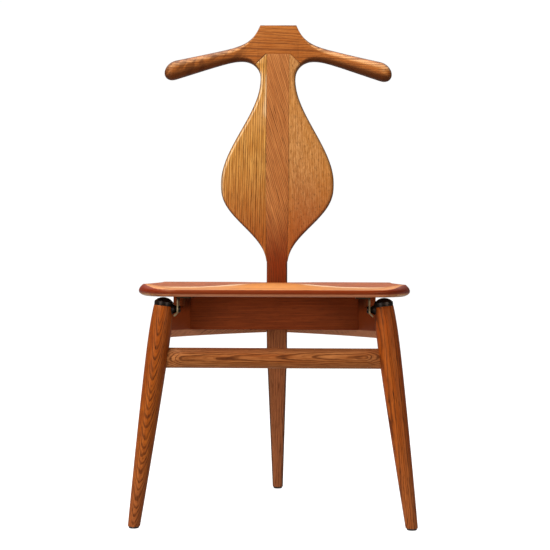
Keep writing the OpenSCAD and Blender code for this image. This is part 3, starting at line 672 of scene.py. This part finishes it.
legStretch = Vector((math.tan(lean["side"]), math.tan(lean["back"]), 1)).length


def turned(name, profile, around):
    # a disc's rim drawn up and in or out, ring by ring, along its profile of radius and height
    radius, height = profile[0]
    piece = start(name, bpy.ops.mesh.primitive_circle_add, vertices=around, radius=radius,
                  location=(0, 0, height), fill_type="NGON")
    settle(piece)
    edit(piece)
    bpy.ops.mesh.select_all(action="SELECT")
    for newRadius, newHeight in profile[1:]:
        bpy.ops.mesh.extrude_region_move(TRANSFORM_OT_translate={"value": (0, 0, newHeight - height)})
        scale = newRadius / radius
        bpy.ops.transform.resize(value=(scale, scale, 1), center_override=(0, 0, newHeight))
        radius, height = newRadius, newHeight
    bpy.ops.mesh.select_all(action="SELECT")
    bpy.ops.mesh.normals_make_consistent(inside=False)
    objectMode()
    return piece


def hingeCutter():
    # the flat round spot on the left leg's inner side, where the hinge's spacer sits
    cutter = start("spotCutter", bpy.ops.mesh.primitive_cylinder_add, vertices=spot["around"],
                   radius=spot["radius"], depth=spot["depth"], rotation=(0, math.pi / 2, 0),
                   location=(spot["depth"] / 2 - spot["x"], chair["hingeY"], chair["hingeZ"]))
    settle(cutter)
    return cutter


def frontLeg():
    heights = [mix(-leg["under"], leg["topHeight"], k / (leg["stations"] - 1)) for k in range(leg["stations"])]
    piece = turned("frontLeg", [(legRadius(z), z * legStretch) for z in heights], leg["around"])
    edit(piece)
    top = leg["topHeight"] * legStretch
    pickEdges(piece, lambda a, b: min(a.z, b.z) > top - 0.0001)
    bpy.ops.mesh.bevel(offset=leg["topBevel"], segments=2, affect="EDGES")
    settle(piece, onLeg(-1))
    sliceOff(piece, (0, 0, leg["floorGap"]), (0, 0, 1))
    outward(piece)
    edit(piece)
    pickEdges(piece, lambda a, b: max(a.z, b.z) < leg["floorGap"] + 0.00001)
    bpy.ops.mesh.bevel(offset=leg["footBevel"], segments=3, affect="EDGES")
    return piece


def legCap():
    low = leg["topHeight"] * legStretch
    centre = low - cap["domeDrop"] * legStretch
    profile = [(cap["radius"] - inset, low + up) for inset, up in cap["lip"]]
    first = math.asin(cap["radius"] / cap["domeRadius"])
    for k in range(cap["rings"]):
        a = first * (1 - k / cap["rings"])
        profile.append((cap["domeRadius"] * math.sin(a), centre + cap["domeRadius"] * math.cos(a)))
    profile.append((cap["centre"], centre + cap["domeRadius"]))
    piece = turned("legCap", profile, leg["around"])
    settle(piece, onLeg(-1))
    outward(piece)
    return piece


left = {"frontLeg": frontLeg(), "legCap": legCap()}
for piece in left.values():
    cutter = hingeCutter()
    cutWith(piece, cutter)
    discard(cutter)
    polish(piece)
right = {key: mirrored(piece) for key, piece in left.items()}
for key, pair in {"left": left, "right": right}.items():
    pair["frontLeg"].name = "frontLeg_" + key
    handOver(pair["frontLeg"], "frame", "leg_oak", legOak[key], "front_leg_" + key)
    pair["legCap"].name = "legCap_" + key
    handOver(pair["legCap"], "frame", "dark_brass", blackBrass, "leg_cap_" + key)

print("stretcher")
stretcher = {"height": 0.299, "halfHigh": 0.018, "halfDeep": 0.012, "inLeg": 0.012, "around": 64, "stations": 81}


def stretcherRing(x):
    points = []
    # flattened a little where it goes into the legs
    shoulder = legX(stretcher["height"]) - leg["bellyRadius"]
    deep = stretcher["halfDeep"] * mix(1, 0.45, ease(between(shoulder - 0.028, shoulder + 0.002, abs(x))))
    for k in range(stretcher["around"]):
        a = math.tau * k / stretcher["around"]
        points.append((x, legY(stretcher["height"]) + deep * math.cos(a),
                       stretcher["height"] + stretcher["halfHigh"] * math.sin(a)))
    return points


reach = legX(stretcher["height"]) - legRadius(stretcher["height"]) + stretcher["inLeg"]
piece = loft("frontStretcher", stretcher["around"],
             [mix(-reach, reach, k / (stretcher["stations"] - 1)) for k in range(stretcher["stations"])],
             stretcherRing)
polish(piece)
handOver(piece, "frame", "leg_oak", stretcherOak, "front_stretcher")


# ---- box under the seat

print("box")
rail = {
    "thick": 0.019, "low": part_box("side_rail_left")[0].z, "high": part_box("side_rail_left")[1].z,
    "notchX": 0.1743, "notchZ": 0.3877, "bow": 0.95, "frontX": 0.188, "spineHalf": 0.0201, "edge": 0.0018,
    "intoLeg": 0.010, "pastKnee": 0.030, "notchStep": 0.0004,
}
kneeY = 0.0651
railFrom = Vector((rail["frontX"], legY(chair["hingeZ"]) + legRadius(chair["hingeZ"]) + 0.0012))
railTo = Vector((rail["spineHalf"], kneeY - 0.001))
railChord = railTo - railFrom
railNormal = Vector((railChord.y, -railChord.x)).normalized()
railMiddle = (railFrom + railTo) / 2 - railNormal * math.sqrt(rail["bow"] ** 2 - (railChord.length / 2) ** 2)


def railX(y, outside=0):
    return railMiddle.x + math.sqrt((rail["bow"] + outside) ** 2 - (y - railMiddle.y) ** 2)


def sideRail(side):
    firstY = chair["hingeY"] + rail["intoLeg"]
    lastY = kneeY + rail["pastKnee"]
    notchY = next(y for y in (firstY + 0.0005 * k for k in range(900)) if railX(y, rail["thick"] / 2) < rail["notchX"])
    ys = [mix(firstY, notchY, k / 9) for k in range(10)]
    ys += [mix(notchY + rail["notchStep"], lastY, k / 29) for k in range(30)]
    piece = board("sideRail", 1, len(ys) - 2)

    def place(co):
        y = ys[round((co.y + 1) / 2 * (len(ys) - 1))]
        top = rail["notchZ"] if y <= notchY else rail["high"]
        x = railX(y, rail["thick"] if co.x > 0 else 0)
        return Vector((side * x, y, top if co.z > 0 else rail["low"]))

    reshape(piece, place)
    outward(piece)
    sliceOff(piece, (side * rail["spineHalf"], 0, 0), (side, 0, 0))
    breakEdges(piece, rail["edge"])
    # marks the inner half, where the painted shade and painted light go
    shaded = piece.data.attributes.new("shaded", "FLOAT", "POINT")     # the half towards the box
    for v, value in zip(piece.data.vertices, shaded.data):
        value.value = between(0.5, 0, (abs(v.co.x) - railX(v.co.y)) / rail["thick"])
    return piece


for key, side in sides.items():
    piece = sideRail(side)
    piece.name = "sideRail_" + key
    handOver(piece, "frame", "box_teak", railTeak, "side_rail_" + key)

front = {"box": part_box("box_front_board"), "thick": 0.014, "edge": 0.0012, "gap": 0.0001, "cuts": 15}
piece = board("boxFrontBoard", 0, front["cuts"])


def frontPlace(co):
    y = front["box"][0].y + (front["thick"] if co.y > 0 else 0)
    return Vector((co.x * (railX(y) - front["gap"]), y, front["box"][1 if co.z > 0 else 0].z))


reshape(piece, frontPlace)
breakEdges(piece, front["edge"])
handOver(piece, "frame", "box_teak", boxTeak, "box_front_board")

panel = {"box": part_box("box_bottom_panel"), "intoRail": 0.0038, "edge": 0.0004, "cuts": 30}
piece = board("boxBottomPanel", 1, panel["cuts"])


def panelPlace(co):
    y = mix(panel["box"][0].y, panel["box"][1].y, (co.y + 1) / 2)
    return Vector((co.x * (railX(y) + panel["intoRail"]), y, panel["box"][1 if co.z > 0 else 0].z))


reshape(piece, panelPlace)
breakEdges(piece, panel["edge"], 2)
handOver(piece, "frame", "box_teak", boxTeak, "box_bottom_panel")


# ---- rear leg and back

print("back")
back = {
    "footFront": 0.235 - 0.01065, "footDeep": 0.0213, "kneeDeep": 0.052, "deep": 0.027, "lean": 0.0595,
    "widenFrom": 0.458, "widest": 0.629, "cheekFrom": 0.474, "neck": chair["hangerJoint"] - 0.052,
    "halfWide": 0.112, "neckHalf": 0.035, "halfSpine": 0.0201, "halfSpineTop": 0.0225, "footHalf": 0.01065,
    "edge": 0.0085, "endBevel": 0.0005, "jointX": chair["jointHalf"], "miterX": 0.047, "flare": 2.6, "joint": 0.0008,
}
back["miterZ"] = chair["hangerJoint"] - (back["miterX"] - back["jointX"])
swing = back["footFront"] - kneeY
swell = back["kneeDeep"] - back["footDeep"]
spineSide = [
    [0, back["footFront"], back["footDeep"]],
    [chair["hingeZ"] * 0.39, back["footFront"] - swing * 0.43, back["footDeep"] + swell * 0.38],
    [chair["hingeZ"] * 0.74, back["footFront"] - swing * 0.81, back["footDeep"] + swell * 0.74],
    [rail["low"] + 0.012, kneeY + 0.004, back["kneeDeep"] - 0.001],
    [chair["seatUnder"] - 0.007, kneeY, back["kneeDeep"]],
    [chair["seatRim"] + 0.017, kneeY, back["kneeDeep"] - (back["kneeDeep"] - back["deep"]) * 0.27],
    [chair["seatRim"] + 0.087, kneeY + back["lean"] * 0.03,
     back["deep"] + (back["kneeDeep"] - back["deep"]) * 0.32],
    [back["widest"] - 0.029, kneeY + back["lean"] * 0.09, back["deep"] + 0.002],
    [back["widest"] + 0.071, kneeY + back["lean"] * 0.24, back["deep"]],
    [chair["hangerJoint"], kneeY + back["lean"] * 0.82, back["deep"]],
    [chair["hangerTop"], kneeY + back["lean"], back["deep"]],
]
spineCorners = [[0, 0.0102], [rail["low"] - 0.070, 0.009], [rail["low"] - 0.005, 0.003],
                [chair["seatRim"] + 0.010, 0.003], [back["cheekFrom"] - 0.012, 0.005],
                [back["cheekFrom"] + 0.012, back["joint"]], [1, back["joint"]]]


def spineHalf(z):
    if z < chair["seatUnder"]:
        return min(back["halfSpine"], back["footHalf"]
                   + (back["halfSpine"] - back["footHalf"]) * z / (rail["low"] - 0.040))
    return mix(back["halfSpine"], back["halfSpineTop"], between(chair["seatRim"] + 0.040, back["widest"] - 0.015, z))


def backHalf(z):
    if z < back["widest"]:
        return mix(spineHalf(z), back["halfWide"], softEase(between(back["widenFrom"], back["widest"], z)))
    return mix(back["halfWide"], back["neckHalf"], ease(between(back["widest"], back["neck"], z)))


def backMiddle(z):
    row = smoothRow(spineSide, z)
    return row[1] + row[2] / 2


def backDeep(z):
    return smoothRow(spineSide, z)[2]


def markGrain(piece, slant):
    # the wood's own straight place for each vertex: the bend taken out, and the grain's slant above the seat
    places = piece.data.attributes.new("grain", "FLOAT_VECTOR", "POINT")
    for v, value in zip(piece.data.vertices, places.data):
        above = max(0, v.co.z - 0.45)
        value.vector = (v.co.x + slant * above ** 2 / (above + 0.05), v.co.y - backMiddle(v.co.z), v.co.z)


def lookUp(rows, value):
    for a, b in zip(rows, rows[1:]):
        if value <= b[0]:
            return mix(a[1], b[1], between(a[0], b[0], value))
    return rows[-1][1]


def spineRing(z):
    r = lookUp(spineCorners, z)
    return [(x, backMiddle(z) + y, z) for x, y in cornered(spineHalf(z), backDeep(z) / 2, [r] * 4, 48)]


heights = [mix(leg["floorGap"], chair["hangerJoint"] - 0.0002, k / 149) for k in range(150)]
piece = loft("backSpine", 48, heights, spineRing)
edit(piece)
pickEdges(piece, lambda a, b: max(a.z, b.z) < leg["floorGap"] + 0.0001)
bpy.ops.mesh.bevel(offset=leg["footBevel"], segments=3, affect="EDGES")
pickEdges(piece, lambda a, b: min(a.z, b.z) > chair["hangerJoint"] - 0.0003)
bpy.ops.mesh.bevel(offset=back["endBevel"], segments=2, affect="EDGES")
polish(piece)
markRim(piece)
markGrain(piece, 0.3)
handOver(piece, "frame", "spine_oak", spineOak, "back_spine")


def cheekHalf(z):
    flare = between(back["neck"], back["miterZ"], z)
    extra = (back["miterX"] - back["neckHalf"]) * flare ** back["flare"]
    if z > back["miterZ"]:
        extra = back["miterX"] - back["neckHalf"] + (z - back["miterZ"])
    return backHalf(z) + extra


def backCheek(side):
    def ring(z):
        inner = spineHalf(z) + 0.00012
        wide = max(0.0006, cheekHalf(z) - inner)
        r = min(back["edge"], wide * 0.9)
        joint = min(back["joint"], wide * 0.3)
        radii = [r, joint, joint, r]
        return [(side * (inner + wide / 2 + x), backMiddle(z) + y, z)
                for x, y in cornered(wide / 2, backDeep(z) / 2 - 0.0001, radii, 48)]

    stations = [mix(back["cheekFrom"], chair["hangerJoint"] + 0.004, k / 139) for k in range(140)]
    piece = loft("backCheek", 48, stations, ring)
    sliceOff(piece, (side * back["jointX"], 0, chair["hangerJoint"] - 0.0003), (-side, 0, -1))
    edit(piece)
    pickEdges(piece, lambda a, b: min(abs(v.x) + v.z for v in (a, b))
              > back["jointX"] + chair["hangerJoint"] - 0.00031)
    bpy.ops.mesh.bevel(offset=back["endBevel"], segments=2, affect="EDGES")
    polish(piece)
    return piece


# painted highlight on the left cheek's edge and beside the neck's glue line
cheekHighlight = {
    "towards": (-0.6, 0, 0.8), "rising": (0.12, 0.4), "falling": (0.5, 0.68),
    "strip": 0.0012, "neckGlintFrom": (0.72, 0.78), "neckGlintTo": (0.84, 0.87),
}


def brightenNeck(piece):
    # painted highlight on the strip beside the glue line, at the neck
    slope = piece.data.attributes["slope"].data
    for v in piece.data.vertices:
        if abs(v.co.x) < back["halfSpineTop"] + cheekHighlight["strip"] and v.normal.y < -0.5:
            glint = easeIn(*cheekHighlight["neckGlintFrom"], v.co.z) * (1 - easeIn(*cheekHighlight["neckGlintTo"], v.co.z))
            slope[v.index].value = max(slope[v.index].value, glint)


for key, side in sides.items():
    piece = backCheek(side)
    piece.name = "backCheek_" + key
    markRim(piece)
    if key == "left":      # the side the key light falls on gets a painted highlight
        markPaintedHighlight(piece, cheekHighlight["towards"], cheekHighlight["rising"], cheekHighlight["falling"])
        brightenNeck(piece)
    markGrain(piece, 0)
    handOver(piece, "frame", "back_oak", cheekOak[key], "back_cheek_" + key)


# ---- hanger

print("hanger")
yoke = {
    "half": 0.228, "crest": 0.0365, "shoulder": 0.0146, "shoulderDrop": 0.0348, "topSlope": 0.23,
    "armpit": 0.0198, "armpitDrop": 0.0408, "underSlope": 0.341, "underLift": 0.0046, "tip": 0.023,
    "tipRadius": 0.019, "roundFrom": 0.100, "sweep": 0.012, "lean": 0.18, "crestEdge": 0.0032,
    "droop": 0.0035,     # of the right arm's tip, which hangs lower than the left one's
}


def armTop(x):
    if x < yoke["crest"]:
        return chair["hangerTop"]
    run = x - yoke["crest"]
    return (chair["hangerTop"] - yoke["shoulderDrop"] - yoke["topSlope"] * run
            + yoke["shoulderDrop"] * math.exp(-run / yoke["shoulder"]))


def armUnder(x):
    run = max(0, x - yoke["crest"])
    return (chair["hangerJoint"] + yoke["underLift"] - yoke["underSlope"] * run
            - yoke["armpitDrop"] * math.exp(-run / yoke["armpit"]))


def yokeRing(x):
    out = abs(x)
    share = math.sqrt(max(0.0004, 1 - (max(0, out - (yoke["half"] - yoke["tip"])) / yoke["tip"]) ** 2))
    middle = (armTop(out) + armUnder(out)) / 2 - yoke["droop"] * ease(between(yoke["crest"], yoke["half"], x))
    halfHigh = (armTop(out) - armUnder(out)) / 2 * share
    swellShare = between(yoke["roundFrom"] - 0.010, yoke["half"] - yoke["tip"], out)
    halfDeep = mix(back["deep"] / 2, yoke["tipRadius"], swellShare) * share
    roundShare = ease(between(yoke["crest"], yoke["roundFrom"], out))
    full = min(halfHigh, halfDeep) * 0.97
    topEdge = mix(yoke["crestEdge"], full, roundShare)
    lowEdge = mix(back["edge"], full, ease(between(back["miterX"], yoke["roundFrom"], out)))
    sweep = yoke["sweep"] * between(yoke["crest"], yoke["half"], out) ** 2
    centre = smoothRow(spineSide, chair["hangerJoint"])[1] + back["deep"] / 2 - sweep
    points = []
    for y, z in cornered(halfDeep, halfHigh, [topEdge, topEdge, lowEdge, lowEdge], 56):
        height = middle + z
        points.append((x, centre + y + yoke["lean"] * (height - chair["hangerJoint"]), height))
    return points


def yokeStations():
    half = [mix(0, yoke["crest"], k / 8) for k in range(8)]
    half += [yoke["crest"] + 0.016 * (k / 14) ** 1.5 for k in range(15)]
    half += [mix(yoke["crest"] + 0.0175, yoke["half"] - yoke["tip"], k / 45) for k in range(46)]
    half += [yoke["half"] - yoke["tip"] * (1 - math.sin(math.pi / 2 * k / 18)) for k in range(1, 19)]
    return [-x for x in reversed(half[1:])] + half


# painted shade on the edges and under the arms, painted highlight on the arms' upper side and the right tip
hangerShadeAndHighlight = {     # a pair of pairs is for the block in the middle, and for the arms
    "arm": (0.04, 0.12), "edge": ((0.05, 0.22), (0.2, 0.5)), "under": 0.55,
    "crest": 0.01, "rimFrom": (0.035, 0.055), "highlightFrom": (0.035, 0.065),
    "rising": ((0.03, 0.15), (0.03, 0.3)), "falling": ((0.3, 0.6), (0.45, 0.8)), "loss": 0.9,
    "tipFrom": (0.196, 0.210), "tipTo": (0.216, 0.226), "tipUp": 0.35, "tipTurn": (0.80, 0.97), "tipShare": 0.85,
}


def markHanger(piece):
    # painted shade along its edges and under the arms, painted highlight along their upper side
    for mark in ("rim", "slope"):
        piece.data.attributes.new(mark, "FLOAT", "POINT")
    rim, slope = (piece.data.attributes[mark].data for mark in ("rim", "slope"))
    up = Vector((0, yoke["lean"], 1)).normalized()
    front = Vector((0, -up.z, up.y))
    tipTowards = (front + hangerShadeAndHighlight["tipUp"] * up).normalized()
    for v in piece.data.vertices:
        out = abs(v.co.x)
        arm = easeIn(*hangerShadeAndHighlight["arm"], out)
        edgeBand, rising, falling = ([mix(a, b, arm) for a, b in zip(*hangerShadeAndHighlight[key])]
                                     for key in ("edge", "rising", "falling"))
        turn = v.normal.dot(up)
        edge = easeIn(*edgeBand, 1 - abs(v.normal.dot(front)))
        down = easeIn(0, hangerShadeAndHighlight["under"], -turn)
        off = 1 if v.co.z > chair["hangerTop"] - hangerShadeAndHighlight["crest"] else between(*hangerShadeAndHighlight["rimFrom"], out)
        rim[v.index].value = max(edge, down) * off
        highlight = easeIn(*rising, turn) * (1 - hangerShadeAndHighlight["loss"] * easeIn(*falling, turn))
        # painted highlight on the right arm's tip
        tip = easeIn(*hangerShadeAndHighlight["tipFrom"], v.co.x) * (1 - easeIn(*hangerShadeAndHighlight["tipTo"], v.co.x))
        glint = hangerShadeAndHighlight["tipShare"] * tip * easeIn(*hangerShadeAndHighlight["tipTurn"], v.normal.dot(tipTowards))
        slope[v.index].value = max(highlight * between(*hangerShadeAndHighlight["highlightFrom"], out), glint)


def yokeCutter():
    # the neck of the back, grown in depth: what the hanger's underside is fitted to
    cutter = start("neckCutter", bpy.ops.mesh.primitive_cube_add, size=2)
    deep = 0.08

    def place(co):
        half = back["jointX"] if co.z > 0 else back["jointX"] + deep
        return Vector((co.x * half, 0.1 + co.y * 0.2, chair["hangerJoint"] - (0 if co.z > 0 else deep)))

    reshape(cutter, place)
    outward(cutter)
    return cutter


piece = loft("hangerYoke", 56, yokeStations(), yokeRing)
cutter = yokeCutter()
cutWith(piece, cutter)
discard(cutter)
polish(piece, 40)
markHanger(piece)
handOver(piece, "frame", "back_oak", yokeOak, "hanger_yoke")


# ---- seat

print("seat")
seat = {
    "front": chair["hingeY"] - 0.0389, "rear": kneeY - 0.002, "half": 0.245, "halfFront": 0.165, "halfRear": 0.232,
    "cornerLong": 0.095, "rearCorner": 0.009,
    "bowlDepth": 0.013, "bowlFromRear": 0.137, "bowlReach": 0.140, "bowlRim": 0.014,
    "scoopDepth": 0.0080, "scoopX": 0.142, "scoopRim": 0.004, "scoopSlope": 0.038, "sideDrop": 0.003,
    "around": 320,
}
seat["bowlY"] = seat["rear"] - seat["bowlFromRear"]
edges = {      # front, side, rear
    "arrisZ": (0.4195, 0.4292, 0.4312),
    "arrisIn": (0.0012, 0.0078, 0.0020),
    "topWide": (0.045, 0.030, 0.010),
    "topCurve": (1.35, 1.6, 2.4),
    "outerZ": (0.4160, 0.4172, 0.4290),
    "underWide": (0.016, 0.021, 0.004),
}
# painted highlight and painted shade round the seat's edge
seatShadeAndHighlight = {
    "facing": 0.6, "fore": 0.25,                                   # how far an edge is turned to the front
    "slope": 0.5, "crestFrom": (0.03, 0.09), "crestPower": 2.2, "inner": 0.86,
    "dark": 0.8, "darkFrom": (0.17, 0.215),
    "pale": 0.8, "paleFrom": (0.195, 0.232), "paleDown": (0.12, 0.45),
    "fade": ((0.2, 0.45), (0.75, 0.98)),                           # on the way under, at the sides and in front
}


def seatHalf(y):
    frontShare = between(seat["front"], seat["front"] + seat["cornerLong"], y)
    sideShare = between(seat["front"] + seat["cornerLong"], seat["rear"], y)
    rearShare = between(0, seat["rearCorner"], seat["rear"] - y)
    return (seat["half"] - (seat["half"] - seat["halfFront"]) * (1 - math.sqrt(1 - (1 - frontShare) ** 2))
            - (seat["half"] - seat["halfRear"]) * sideShare ** 2
            - seat["rearCorner"] * (1 - math.sqrt(1 - (1 - rearShare) ** 2)))


def seatTop(x, y):
    x = abs(x)
    bowl = ease(max(0, 1 - (x / (seat["half"] - seat["bowlRim"])) ** 2
                    - ((y - seat["bowlY"]) / seat["bowlReach"]) ** 2))
    rim = seatHalf(y) - seat["scoopRim"]
    scoop = (seat["scoopDepth"] * ease(between(0, seat["scoopX"], x))
             * (1 - ease(between(rim - seat["scoopSlope"], rim, x)))
             * (1 - ease(between(seat["front"] + 0.040, seat["bowlY"] + 0.030, y))))
    side = seat["sideDrop"] * (x / seat["half"]) ** 3 * (1 - between(seat["front"], seat["rear"], y))
    return chair["seatRim"] - seat["bowlDepth"] * bowl - scoop * (1 - bowl) - side


def seatOutline():
    # evenly spaced points round the plan, closer where it turns, each with its outward direction
    right = []
    for k in range(400):
        share = k / 399
        y = mix(seat["front"], seat["rear"], share)
        right.append(Vector((seatHalf(y), y)))
    for k in range(1, 60):         # the corners again, in small steps
        y = seat["front"] + 0.004 * (k / 60) ** 2
        right.append(Vector((seatHalf(y), y)))
        y = seat["rear"] - 0.004 * (k / 60) ** 2
        right.append(Vector((seatHalf(y), y)))
    right.sort(key=lambda p: p.y)
    ring = [Vector((0, seat["front"]))] + [p.copy() for p in right] + [Vector((0, seat["rear"]))]
    ring += [Vector((-p.x, p.y)) for p in reversed(right)]
    lengths = [0]
    count = len(ring)
    for k in range(count):
        a, b, c = ring[k], ring[(k + 1) % count], ring[(k + 2) % count]
        turn = (b - a).angle(c - b, 0) if (b - a).length > 1e-7 and (c - b).length > 1e-7 else 0
        lengths.append(lengths[-1] + (b - a).length + 0.03 * turn)
    points = []
    k = 0
    for i in range(seat["around"]):
        goal = lengths[-1] * i / seat["around"]
        while lengths[k + 1] < goal:
            k += 1
        share = between(lengths[k], lengths[k + 1], goal)
        points.append(ring[k].lerp(ring[(k + 1) % count], share))
    normals = []
    for i in range(len(points)):
        along = points[(i + 2) % len(points)] - points[i - 2]
        normals.append(Vector((along.y, -along.x)).normalized())
    return points, normals


def seatRings():
    # each ring is a zone and a share of it, from the middle of the top round the edge to the underside
    rings = [("inner", k / 16) for k in range(1, 16)]
    rings += [("top", (1 - k / 13) ** 1.4) for k in range(13)]
    rings += [("face", k / 6) for k in range(6)]
    rings += [("under", k / 9) for k in range(10)]
    rings += [("below", 1 - k / 6) for k in range(1, 6)]
    return rings


def seatPlace(outline, normal, zone, share):
    front = ease(between(0.3, 0.97, -normal.y))
    rear = ease(between(0.3, 0.9, normal.y))
    sideShare = 1 - front - rear
    value = {key: front * v[0] + sideShare * v[1] + rear * v[2] for key, v in edges.items()}
    centre = Vector((0, mix(seat["front"], seat["rear"], 0.5)))
    inward = (centre - outline).normalized()
    slant = max(0.4, -inward.dot(normal))
    limit = (centre - outline).length * slant * 0.9

    def at(inset):
        return outline + inward * (min(inset, limit) / slant)

    if zone == "inner":
        point = centre.lerp(at(value["topWide"]), share)
        return point, seatTop(point.x, point.y)
    if zone == "top":
        inset = mix(value["arrisIn"], value["topWide"], share)
        point = at(inset)
        top = seatTop(point.x, point.y)
        return point, top - (top - value["arrisZ"]) * (1 - share) ** value["topCurve"]
    if zone == "face":
        point = at(value["arrisIn"] * (1 - share) ** 2)
        return point, mix(value["arrisZ"], value["outerZ"], share)
    if zone == "under":
        a = math.pi / 2 * share
        point = at(value["underWide"] * (1 - math.cos(a)))
        return point, chair["seatUnder"] + (value["outerZ"] - chair["seatUnder"]) * (1 - math.sin(a))
    return centre.lerp(at(value["underWide"]), share), chair["seatUnder"]


def wholeSeat():
    outlines, normals = seatOutline()
    rings = seatRings()
    piece = start("seat", bpy.ops.mesh.primitive_uv_sphere_add, segments=seat["around"],
                  ring_count=len(rings) + 1, radius=1)
    middleY = mix(seat["front"], seat["rear"], 0.5)
    for mark in ("slope", "shaded"):
        piece.data.attributes.new(mark, "FLOAT", "POINT")
    slope, shaded = (piece.data.attributes[mark].data for mark in ("slope", "shaded"))

    def ringOf(co):
        return round(math.acos(max(-1, min(1, co.z))) / math.pi * (len(rings) + 1)) - 1

    def indexOf(co):
        return round(math.atan2(co.y, co.x) / math.tau * seat["around"]) % seat["around"]

    for v in piece.data.vertices:
        # painted highlight on the slope in front of the dish, brightest along its crest, over painted shade on the edge
        # whose front ends get a painted highlight below, all of it fading out before the plain underside
        k, i = ringOf(v.co), indexOf(v.co)
        zone, share = rings[k] if 0 <= k < len(rings) else ("inner", 0)
        out = abs(outlines[i].x)
        facing = easeIn(0, seatShadeAndHighlight["facing"], -normals[i].y)
        fore = easeIn(0, seatShadeAndHighlight["fore"], -normals[i].y)
        fade = 1 - easeIn(*[mix(a, b, fore) for a, b in zip(*seatShadeAndHighlight["fade"])], share)
        pale = easeIn(*seatShadeAndHighlight["paleDown"], share) * easeIn(*seatShadeAndHighlight["paleFrom"], out) * fore
        crest = share ** seatShadeAndHighlight["crestPower"] * easeIn(*seatShadeAndHighlight["crestFrom"], out)
        dark = mix(seatShadeAndHighlight["dark"], 1, easeIn(*seatShadeAndHighlight["darkFrom"], out))
        slope[v.index].value = {"top": mix(seatShadeAndHighlight["slope"], 1, crest) * facing,
                                "inner": between(seatShadeAndHighlight["inner"], 1, share) * facing,
                                "under": pale * fade * seatShadeAndHighlight["pale"]}.get(zone, 0)
        shaded[v.index].value = {"face": dark, "under": dark * (1 - pale) * fade}.get(zone, 0)

    def place(co):
        k = ringOf(co)
        if k < 0:
            return Vector((0, middleY, seatTop(0, middleY)))
        if k >= len(rings):
            return Vector((0, middleY, chair["seatUnder"]))
        i = indexOf(co)
        point, z = seatPlace(outlines[i], normals[i], *rings[k])
        return Vector((point.x, point.y, z))

    reshape(piece, place)
    outward(piece)
    return piece


boardNames = ["front", "second", "third", "rear"]
whole = wholeSeat()
for i, key in enumerate(boardNames):
    only(whole)
    bpy.ops.object.duplicate()
    piece = bpy.context.object
    piece.name = "seatBoard_" + key
    low = mix(seat["front"], seat["rear"], i / 4)
    high = mix(seat["front"], seat["rear"], (i + 1) / 4)
    if i > 0:
        sliceOff(piece, (0, low, 0), (0, 1, 0))
    if i < 3:
        sliceOff(piece, (0, high, 0), (0, -1, 0))
    polish(piece, 50)
    handOver(piece, "seat", "seat_teak", seatTeak[i], "seat_board_" + key)
discard(whole)


# ---- metal fittings that keep their CAD shape

print("fittings")
for key in sides:
    for node, material in (("hinge_bracket_", agedBrass), ("bracket_screws_", agedBrass),
                           ("pivot_screw_", blackBrass), ("pivot_spacer_", blackBrass)):
        dress(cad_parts[node + key], material)
for node in ("foot_glide_front_left", "foot_glide_front_right", "foot_glide_rear"):
    dress(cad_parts[node], glideBlack)
dress(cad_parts["hanger_tenon"], yokeOak)

deselect()
